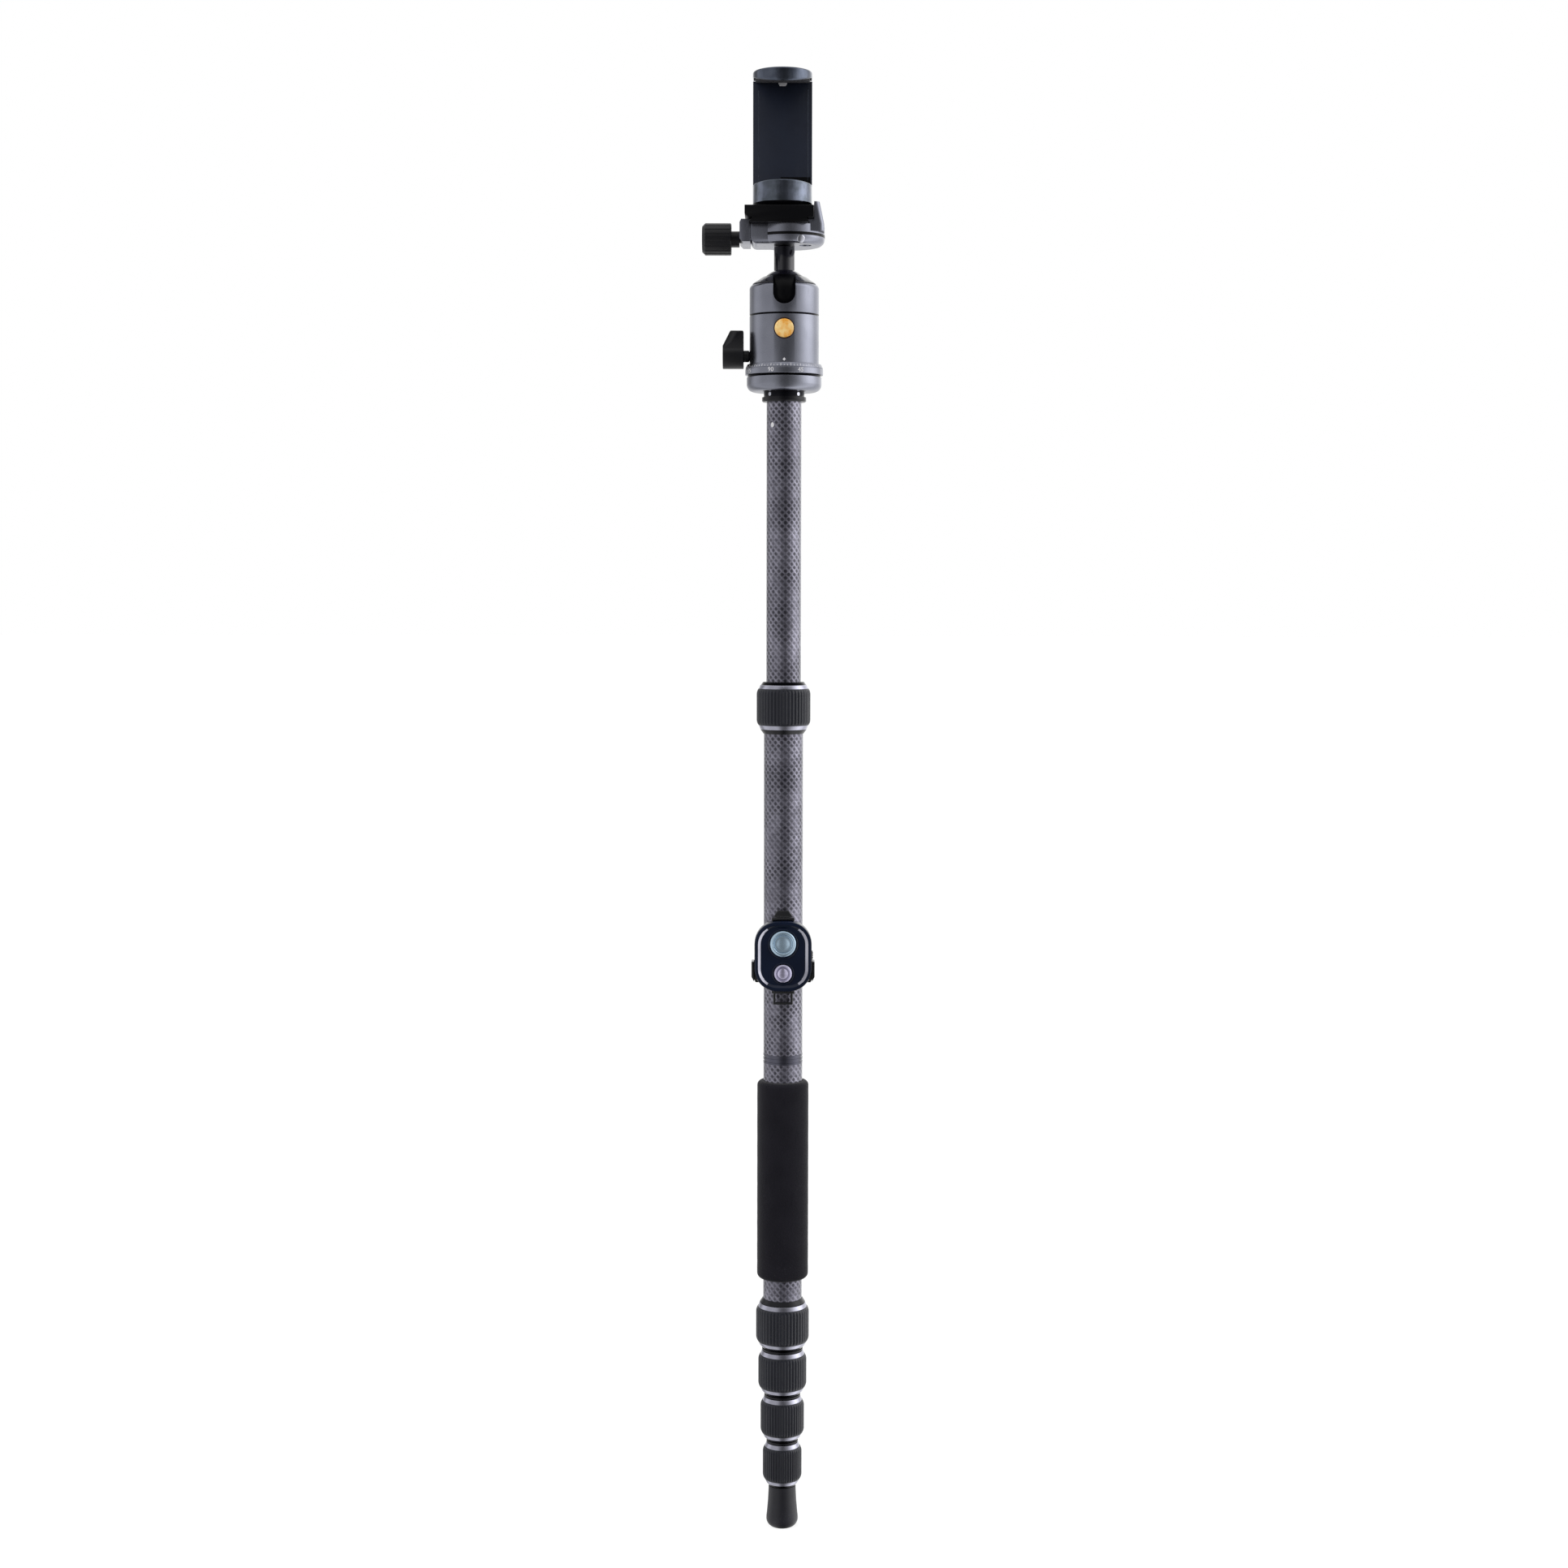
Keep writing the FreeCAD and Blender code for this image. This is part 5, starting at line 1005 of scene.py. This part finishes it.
@dataclass
class Column(Assembly):
    """The centre column: lower tube, twist lock, upper tube and its top plate."""

    mark: Triple = (11.42, -42.0, 741.0)

    def build(self) -> None:
        """Dress the tubes, and add the lock's rubber, the white mark and the top plate."""
        dress("column_lower_tube", carbon(19))
        dress("column_upper_tube", carbon(17))
        TwistLock(0, 13.0, "column_nut", "column_lock", lip_on_top=True).build()
        self.dot()
        self.soften("column_top_plate", "top_plate_flange", SLEEVE_BLACK, Slot.BLACK_METAL,
                    "column_upper", 0.25, 2)
        dress("top_plate_set_screws", STEEL)

    def dot(self) -> None:
        """The small white oval mark near the top of the upper tube."""
        piece = begin(bpy.ops.mesh.primitive_circle_add, "column_white_mark", vertices=32, radius=1.5 * MM,
                      fill_type="NGON")
        piece.scale = (0.9, 1.1, 1.0)
        settle(piece)
        with editing(piece):
            extrude((0, 0, 0.07 * MM))
            stretch(0.9, 0.9)
            face_outwards()
        wrapped(piece, *self.mark)
        self.add(piece, WHITE_PRINT, Slot.CARBON, "column_upper")


@dataclass
class BallHead(Assembly):
    """The ball head: base, degree ring, housing, orange cap, knobs, ball and collar."""

    ring_low: float = 773.57
    ring_high: float = 780.35
    ring_outer: float = 25.5
    shell: float = 22.68
    cap_height: float = 802.2

    def build(self) -> None:
        """Add the head's pieces."""
        self.soften("pan_base", "pan_base_shell", BASE_METAL, Slot.GUNMETAL, "column_upper", 0.3)
        self.soften("head_housing", "head_shell", HOUSING, Slot.GUNMETAL, "head", 0.3)
        self.soften("ball_collar", "ball_collar_ring", BLACK_METAL, Slot.BLACK_METAL, "head", 0.3)
        self.soften("pan_knob", "pan_wing_knob", KNOB_RUBBER, Slot.BLACK_PLASTIC, "pan_knob", 0.7)
        self.soften("lock_knob", "ball_lock_knob", KNOB_RUBBER, Slot.BLACK_PLASTIC, "lock_knob", 0.6)
        ball = self.soften("ball_stem", "ball_and_stem", BLACK_METAL, Slot.BLACK_METAL, "ball", 0.2, 2)
        inlay(ball, BALL_BLACK, lambda middle, normal: middle.z < 838.0)
        dress("ball_cup", BALL_BLACK)
        self.degree_ring()
        self.figures()
        self.cap()
        mark = block("white_index", (-0.75, -0.75, -0.1), (0.75, 0.75, 0.06), 0.03)
        mark.rotation_euler = (0, 0, math.radians(45))
        wrapped(mark, self.shell, 0.0, 782.25)
        self.add(mark, WHITE_PRINT, Slot.GUNMETAL, "head")

    def degree_ring(self) -> None:
        """The degree ring: an upright band for the figures and a sloped one for the ticks."""
        low, high, outer = self.ring_low, self.ring_high, self.ring_outer
        outline = [(23.0, low), (outer - 0.2, low), (outer, low + 0.2), (outer, low + 3.5),
                   (outer - 0.15, low + 3.7), (outer - 0.35, low + 3.75), (outer - 0.35, low + 4.0),
                   (outer - 0.15, low + 4.1), (outer - 0.1, low + 4.3), (outer - 1.1, high - 0.2),
                   (outer - 1.3, high), (23.0, high)]
        self.add(turned("degree_ring", outline, 144, crease=30), GUNMETAL, Slot.GUNMETAL, "column_upper",
                 "scale_ring")

    def figures(self) -> None:
        """Plain figures every 45 degrees, and a tick every 5 degrees, long at every 15."""
        figures, ticks = [], []
        for value in range(0, 360, 45):
            figures.append(printed(f"figure_{value}", str(value), 2.9))
            wrapped(figures[-1], self.ring_outer - 0.01, 70.0 - value, self.ring_low + 1.95)
        for value in range(0, 360, 5):
            long = 1.6 if value % 15 == 0 else 0.9
            tick = begin(bpy.ops.mesh.primitive_cube_add, "tick", size=MM, location=(0, long / 2 * MM, 0))
            tick.scale = (0.26, long, 0.06)
            wrapped(tick, self.ring_outer - 0.12, value - 20.0, self.ring_low + 4.45)
            for vertex in tick.data.vertices:
                lean = (vertex.co.z / MM - self.ring_low - 4.3) * 0.44
                vertex.co.xy *= 1 - lean * MM / vertex.co.xy.length
            ticks.append(tick)
        for name, marks in (("ring_figures", figures), ("ring_ticks", ticks)):
            self.add(joined(name, marks), WHITE_PRINT, Slot.GUNMETAL, "column_upper")

    def cap(self) -> None:
        """The orange cap, slightly domed, with a fine groove, and a dark rubber ring round it that paints
        the shadow at the cap's edge.
        """
        outline = [(0, 0), (6.2, 0), (6.2, 3.2), *bulge((6.2, 3.2), (5.6, 3.72), 0.8, 4)]
        outline += [(5.0, 3.84), (4.85, 3.72), (4.7, 3.86), (3.0, 3.98), (1.4, 4.05), (0, 4.07)]
        cap = turned("orange_cap", outline, 96, (0, -19.12, self.cap_height), Facing.FRONT, False, 35)
        self.add(cap, ORANGE_METAL, Slot.ORANGE_METAL, "head", "tension_cap")
        # The dark ring round the cap is painted shadow.
        painted_shadow = begin(bpy.ops.mesh.primitive_circle_add, "cap_shadow_ring", vertices=64, radius=6.95 * MM,
                     fill_type="NGON")
        with editing(painted_shadow):
            bpy.ops.mesh.inset(thickness=0.72 * MM, depth=0)
            bpy.ops.mesh.delete(type="FACE")
            select_mesh()
            extrude((0, 0, 0.14 * MM))
            stretch(0.99, 0.99)
            face_outwards()
        smooth(painted_shadow, 40)
        wrapped(painted_shadow, self.shell, 0.0, self.cap_height)
        self.add(painted_shadow, CAP_SHADOW_RUBBER, Slot.PAD_RUBBER, "head")


@dataclass
class Clamp(Assembly):
    """The dovetail clamp with its moving jaw and knob, and the quick release plate."""

    disc: Triple = (3.0, 0.0, 862.9)
    disc_radius: float = 23.3
    pin: Triple = (10.6, -21.3, 859.2)

    def build(self) -> None:
        """Add the clamp's pieces."""
        self.soften("clamp_body", "clamp_shell", GUNMETAL, Slot.GUNMETAL, "clamp", 0.5,
                    shape=self.round_fence)
        self.soften("clamp_jaw", "clamp_moving_jaw", GUNMETAL, Slot.GUNMETAL, "clamp_jaw", 0.4)
        self.soften("clamp_knob", "clamp_fluted_knob", KNOB_RUBBER, Slot.BLACK_METAL, "clamp_knob", 0.25)
        self.soften("release_plate", "release_plate_block", PLATE_BLACK, Slot.BLACK_METAL, "plate", 0.4)
        self.trim()
        dress("camera_screw", STEEL)

    @staticmethod
    def round_fence(piece: Piece) -> None:
        """Round the fence's upright corners, front and back.

        Args:
            piece: the clamp's body in edit mode.
        """
        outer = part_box("clamp_body")[1].x / MM - 3.8

        def corner(first: Vector, second: Vector) -> bool:
            """Whether an edge is one of the fence's upright corners."""
            at_end = min(abs(first.y), abs(second.y)) > 18.7 and abs(first.y - second.y) < 0.1
            return at_end and min(first.x, second.x) > outer and abs(first.z - second.z) > 3.0

        choose_edges(piece, corner)
        bpy.ops.mesh.bevel(offset=3.2 * MM, segments=7, affect="EDGES")

    def trim(self) -> None:
        """A dark ring round the clamp's disc, painted shade of the groove under its rim, and the bright stop
        pin under it.
        """
        # The black ring stands for the shade in the disc's groove: painted shade.
        outer = self.disc_radius + 0.12
        outline = [(outer - 1.2, -1.1), (outer - 0.3, -1.1), (outer, -0.8), (outer, 0.8), (outer - 0.3, 1.1),
                   (outer - 1.2, 1.1)]
        self.add(turned("clamp_disc_shade_line", outline, place=self.disc), BALL_BLACK, Slot.BLACK_METAL, "clamp")
        outline = [(0, -1.0), (2.9, -1.0), (2.9, 0.1), (2.6, 0.55), (1.9, 0.9), (0, 1.15)]
        pin = turned("clamp_stop_pin", outline, 48, closed=False, crease=50)
        pin.rotation_euler = (math.radians(112), 0, math.radians(18))
        pin.location = Vector(self.pin) * MM
        settle(pin)
        self.add(pin, STEEL, Slot.BRIGHT_METAL, "clamp")


@dataclass
class PhoneHolder(Assembly):
    """The sprung phone holder: panel and lower jaw, upper jaw, ribbed pads and springs."""

    middle: float = -1.3
    front: float = 6.0
    half: float = 19.3
    centre: float = -4.7
    pad_half: float = 17.7
    lower_face: float = 895.1
    lower_tip: float = 896.9
    upper_face: float = 964.2
    upper_tip: float = 958.9
    step: float = 883.5

    def build(self) -> None:
        """Add the holder's pieces."""
        body = self.soften("holder_body", "holder_shell", HOLDER_PLASTIC, Slot.BLACK_PLASTIC, "plate", 0.5,
                           shape=self.undercut)
        back, top = self.front - 0.1, self.lower_face + 0.2
        inlay(body, LOWER_JAW, lambda middle, normal: middle.z < top and middle.y < back)
        # Below the step the front of the holder's foot goes near-black: painted shade under the lower jaw's
        # round front.
        inlay(body, PLATE_BLACK, lambda middle, normal: middle.z < self.step and middle.y < back)
        self.lip("lower_jaw_lip", "plate", LOWER_JAW, self.lower_face, self.lower_tip)
        self.lip("upper_jaw_lip", "upper_jaw", JAW_PLASTIC, self.upper_face, self.upper_tip)
        self.soften("holder_upper_jaw", "holder_sliding_jaw", JAW_PLASTIC, Slot.BLACK_PLASTIC,
                    "upper_jaw", 0.5)
        self.panel_trim()
        for node, body, way in (("lower_jaw_pad", "plate", 1), ("upper_jaw_pad", "upper_jaw", -1)):
            self.pad(node, body, way)
        dress("holder_springs", STEEL)

    def undercut(self, piece: Piece) -> None:
        """Draw in the foot of the lower jaw under its round front.

        Args:
            piece: the holder's body in edit mode.
        """
        select_mesh()
        bpy.ops.mesh.bisect(plane_co=(0, 0, self.step * MM), plane_no=(0, 0, 1))
        choose(piece, lambda place: place.z < 881.0 and place.y < self.centre + 0.1)
        stretch(0.87, 0.87, (self.middle, self.centre, 0))

    def lip(self, name: str, body: str, finish: Finish, foot: float, tip: float) -> None:
        """A lip along a jaw's round front, highest in the middle.

        Args:
            name: the piece's name.
            body: the body that carries it.
            finish: its finish.
            foot: the height of the jaw's face, in millimetres.
            tip: the height of the lip's edge at the front.
        """
        way = 1 if tip > foot else -1
        outer, inner = self.half + 0.02, self.half - 1.9
        outline = [(inner, foot - 0.9 * way), (outer, foot - 0.9 * way), (outer, foot), (outer, tip - way),
                   (outer - 0.15, tip - 0.4 * way), (outer - 0.5, tip - 0.05 * way), (outer - 0.9, tip),
                   (inner + 0.3, tip - 0.3 * way), (inner, tip - 0.9 * way), (inner, foot)]
        piece = turned(name, outline, 128, (self.middle, self.centre, 0), crease=None)
        with editing(piece):
            choose(piece, lambda place: place.y > self.centre + 0.05)
            bpy.ops.mesh.delete(type="VERT")
            select_mesh()
            bpy.ops.mesh.fill_holes(sides=0)
            face_outwards()
        for vertex in piece.data.vertices:
            across, deep, height = vertex.co / MM
            turn = math.atan2(across - self.middle, self.centre - deep)
            if (height - foot) * way > 0:
                vertex.co.z = (foot + (height - foot) * max(math.cos(turn), 0.0) ** 1.2) * MM
        smooth(piece, 40)
        self.add(piece, finish, Slot.BLACK_PLASTIC, body)

    def panel_trim(self) -> None:
        """Two slim ribs beside the panel's edges, a near-black strip at its foot as painted shadow, and a
        tab at its top painted white as a highlight.
        """
        face = self.front
        ribs = [block("panel_rib", (x, face - 0.16, 900.5), (x + 0.4, face + 0.3, 959.5), 0.08)
                for x in (self.middle - self.half + 3.4, self.middle + self.half - 3.0)]
        self.add(joined("panel_ribs", ribs), JAW_PLASTIC, Slot.BLACK_PLASTIC, "plate")
        # The near-black strip above the lower jaw is painted shadow.
        slot = block("panel_shadow_strip", (-2.6, face - 0.15, 898.2), (17.0, face + 0.4, 902.6), 0.1)
        self.add(slot, PLATE_BLACK, Slot.BLACK_PLASTIC, "plate")
        # The metal tab is painted white: a painted highlight.
        tab = block("panel_glint_tab", (self.middle - 2.9, face - 0.5, 961.0),
                    (self.middle + 2.9, face + 0.3, 963.2), 0.2)
        with editing(tab):
            choose(tab, lambda place: place.z < 962.1)
            stretch(0.72, 1, (self.middle, face, 961.0))
        self.add(tab, WHITE_PRINT, Slot.BRIGHT_METAL, "plate")

    def pad(self, node: str, body: str, way: int) -> None:
        """The rubber pad of a jaw, with shallow ribs across.

        Args:
            node: the pad's CAD node.
            body: the body that carries it.
            way: 1 if its face looks up, -1 if down.
        """
        pieces = [softened(node, f"{node}_base", 0.25)]
        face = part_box(node)[way > 0].z / MM
        low, high = sorted((face - 0.18 * way, face + 0.12 * way))
        for number in range(8):
            y = -17.0 + number * 2.8
            wide = math.sqrt(max(self.pad_half ** 2 - min(y - self.centre, 0) ** 2, 16)) - 2.0
            pieces.append(block(f"{node}_bar_{number}", (self.middle - wide, y, low),
                                (self.middle + wide, y + 1.3, high), 0.1))
        pad = joined(f"{node}_ribbed", pieces)
        smooth(pad, 40)
        self.add(pad, PAD_RUBBER, Slot.PAD_RUBBER, body, node)


@dataclass
class Remote(Assembly):
    """The clip-on remote: clip, shells, two round buttons and a slide switch."""

    middle: float = 393.35
    half_width: float = 18.8
    half_length: float = 23.05
    corner: float = 15.0
    back: float = -22.62
    face: float = -28.82

    def build(self) -> None:
        """Add the remote's pieces."""
        self.soften("remote_clip", "remote_clip_tray", CLIP_PLASTIC, Slot.BLACK_PLASTIC, "remote_clip", 0.45,
                    shape=self.slant_wings)
        self.soften("remote_back_shell", "remote_case_back", CLIP_PLASTIC, Slot.BLACK_PLASTIC,
                    "remote", 0.25, 2)
        self.front_shell()
        self.button("large", 401.8, 8.6, BUTTON_BLUE, Slot.BUTTON_BLUE)
        self.button("small", 382.2, 6.0, BUTTON_VIOLET, Slot.BUTTON_VIOLET)
        self.switch()
        dress("remote_board", BOARD)
        dress("remote_cell", STEEL)

    @staticmethod
    def slant_wings(piece: Piece) -> None:
        """Part the clip's long faces, and slant the lower outer corners of the tray's side wings.

        Args:
            piece: the clip and tray in edit mode.
        """
        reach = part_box("remote_clip")[1].x
        for turn in range(4):
            select_mesh()
            bpy.ops.mesh.bisect(plane_co=(0, 0, 0),
                                plane_no=(math.cos(turn * math.pi / 4), math.sin(turn * math.pi / 4), 0))
        for side in (1, -1):
            select_mesh()
            bpy.ops.mesh.bisect(plane_co=(side * reach, 0, 379.7 * MM), plane_no=(side * 0.887, 0, -0.461),
                                use_fill=True, clear_outer=True)

    def front_shell(self) -> None:
        """The glossy front, its rim sloping in to a sunk face."""
        piece = begin(bpy.ops.mesh.primitive_plane_add, "remote_case_front", size=1)
        piece.scale = (2 * self.half_width * MM, 2 * self.half_length * MM, 1)
        piece.rotation_euler = Facing.FRONT.value
        piece.location = (0, self.back * MM, self.middle * MM)
        settle(piece)
        with editing(piece):
            bpy.ops.mesh.bevel(offset=self.corner * MM, segments=14, affect="VERTICES")
            select_mesh()
            extrude((0, (self.face - self.back + 0.8) * MM, 0))
            for inset, out in ((0.25, -0.5), (0.65, -0.28), (1.4, 0.0), (0.2, 0.12), (1.35, 1.2),
                               (0.3, 0.15), (1.0, 0.0)):
                bpy.ops.mesh.inset(thickness=inset * MM, depth=0)
                bpy.ops.transform.translate(value=(0, out * MM, 0))
            face_outwards()
        smooth(piece, 35)
        self.add(piece, CASE_GLOSS, Slot.REMOTE_GLOSS, "remote", "remote_front_shell")
        # The rim's inner slopes at both sides get the silver finish, a painted highlight along the glossy
        # rim.
        inlay(piece, CASE_RIM_HIGHLIGHT, lambda middle, normal: 0.35 < abs(normal.x) < 0.9 and normal.x * middle.x < 0)

    def button(self, size: str, height: float, radius: float, finish: Finish, slot: Slot) -> None:
        """A round button with a raised rim, a groove and a dished middle, and a thin glossy ring round it.

        Args:
            size: large or small.
            height: the height of its middle, in millimetres.
            radius: its radius.
            finish: its finish.
            slot: the record's slot that it belongs to.
        """
        top = 3.1
        outline = [(0, 0), (radius + 0.85, 0), (radius + 0.85, 0.6), (radius, 0.6), (radius, top - 0.9),
                   *bulge((radius, top - 0.9), (radius * 0.9, top - 0.15), 1.6, 4)]
        for share, depth in ((0.84, 0.0), (0.76, 0.2), (0.7, 0.75), (0.65, 0.85), (0.61, 0.35), (0.56, 0.3),
                             (0.42, 0.8), (0.2, 1.15), (0.0, 1.25)):
            outline.append((radius * share, top - depth))
        piece = turned(f"remote_button_{size}", outline, 72, (0, -26.42, height), Facing.FRONT, False, 30)
        self.add(piece, finish, slot, f"button_{size}", f"shutter_button_{size}")
        bore = radius + 0.35
        outline = [(bore, -0.4), (bore + 1.0, -0.4), (bore + 0.9, 0.25), (bore + 0.6, 0.5),
                   (bore + 0.25, 0.5), (bore, 0.2)]
        ring = turned(f"{size}_button_bezel", outline, 72, (0, self.face + 1.0, height), Facing.FRONT)
        self.add(ring, CASE_GLOSS, Slot.REMOTE_GLOSS, "remote")

    def switch(self) -> None:
        """The slide switch at the right side, with three ridges."""
        low, high = (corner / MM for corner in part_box("power_switch"))
        pieces = [block("power_slide", low, high - Vector((0.3, 0, 0)), 0.15)]
        for number in range(3):
            z = low.z + 1.2 + number * 1.5
            pieces.append(block(f"ridge_{number}", (high.x - 0.5, low.y + 0.15, z),
                                (high.x, high.y - 0.15, z + 0.6), 0.12))
        piece = joined("power_slide_switch", pieces)
        smooth(piece, 40)
        self.add(piece, CLIP_PLASTIC, Slot.BLACK_PLASTIC, "power_switch", "power_switch")


@dataclass
class Studio:
    """The plain pale floor, the soft light and the camera."""

    lens: float = 57.76
    place: Triple = (0.0004, -1.6654, 0.636)
    pitch: float = 4.5
    roll: float = 0.107
    fill: float = 0.85
    sky: float = 0.9
    floor_glow: float = 0.84
    floor_tone: float = 0.24
    bands: tuple[Point, ...] = (
        (-180, 1.0), (-128, 0.4), (-106, 1.07), (-90, 0.95), (-77, 0.68), (-40, 0.7), (-29, 0.61),
        (-18, 0.35), (-8, 0.2), (6, 0.15), (16, 0.18), (27, 0.34), (37, 0.48), (48, 0.84), (61, 1.48),
        (74, 2.17), (87, 2.68), (103, 2.34), (121, 1.26), (160, 1.5), (180, 1.0))

    def build(self) -> None:
        """Set up the world, the lights, the floor and the camera."""
        self.world()
        self.light("key", (-1.5, -1.6, 1.7), 1.4, 20.0)
        self.light("rim", (1.8, -0.3, 1.0), 0.8, 8.0)
        self.floor()
        self.camera()
        bpy.context.scene.view_settings.view_transform = "Standard"

    def world(self) -> None:
        """White behind the object, upright bands of light in reflections, and a soft even fill."""
        world = bpy.data.worlds.new("studio")
        bpy.context.scene.world = world
        w = cleared(world)
        direction = w.node("TexCoord").outputs["Generated"]
        side = w.group(studio_bands(self.bands), direction)["Light"]
        upward = w.spread(w.math("ABSOLUTE", w.axes(direction)[2]), 0.55, 0.9)
        mirrored = w.out("Mix", upward, None, side, self.sky, data_type="FLOAT")
        glossy, fill, white = (w.out("Background", (1, 1, 1, 1), strength)
                               for strength in (mirrored, self.fill, 1.0))
        path = w.node("LightPath").outputs
        lit = w.out("MixShader", path["Is Glossy Ray"], fill, glossy)
        seen = w.math("MAXIMUM", path["Is Camera Ray"], path["Is Transmission Ray"])
        w.node("OutputWorld", w.out("MixShader", seen, lit, white))

    def light(self, name: str, place: Triple, size: float, power: float) -> None:
        """A soft square light that looks at the object's middle.

        Args:
            name: the light's name.
            place: its place, in metres.
            size: the length of its side, in metres.
            power: its power, in watts.
        """
        light = begin(bpy.ops.object.light_add, f"studio_{name}", type="AREA", location=place)
        light.data.shape = "SQUARE"
        light.data.size = size
        light.data.energy = power
        aim = Vector((0, 0, 0.5)) - Vector(place)
        light.rotation_euler = aim.to_track_quat("-Z", "Y").to_euler()
        light.visible_glossy = False

    def floor(self) -> None:
        """The plain pale floor, which keeps the object's shadow and shows its bands in reflections."""
        floor = begin(bpy.ops.mesh.primitive_plane_add, "studio_floor", size=60)
        material = bpy.data.materials.new("pale_floor")
        w = cleared(material)
        path = w.node("LightPath").outputs
        glossy = path["Is Glossy Ray"]
        bands = w.group(studio_bands(self.bands), w.node("TexCoord").outputs["Object"])["Light"]
        soft = w.math("MINIMUM", w.math("MULTIPLY", bands, 1.25), w.math("MULTIPLY_ADD", bands, 0.5, 0.5))
        shine = w.math("MULTIPLY", glossy, soft)
        glow = w.out("Emission", None, w.math("MULTIPLY_ADD", path["Is Camera Ray"], self.floor_glow, shine))
        matt = w.out("BsdfDiffuse", w.mix(glossy, (*(self.floor_tone,) * 3, 1), (0, 0, 0, 1)))
        w.node("OutputMaterial", w.out("AddShader", glow, matt))
        floor.data.materials.append(material)

    def camera(self) -> None:
        """The camera at the photograph's place."""
        data = bpy.data.cameras.new("photo_camera")
        data.lens = self.lens
        data.sensor_width = 36.0
        camera = bpy.data.objects.new("photo_camera", data)
        bpy.context.scene.collection.objects.link(camera)
        pitch = Matrix.Rotation(math.radians(90 - self.pitch), 4, "X")
        roll = Matrix.Rotation(math.radians(self.roll), 4, "Z")
        camera.matrix_world = Matrix.Translation(self.place) @ pitch @ roll
        bpy.context.scene.camera = camera


def main() -> None:
    """Load the frame, add every sub-assembly and set up the studio."""
    logging.basicConfig(level=logging.INFO, format="%(name)s: %(message)s")
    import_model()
    Studio().build()
    for assembly in (Leg(), Column(), BallHead(), Clamp(), PhoneHolder(), Remote()):
        assembly.build()
        LOG.info("%s is built", type(assembly).__name__)
    drop_all()


if __name__ == "__main__":
    main()
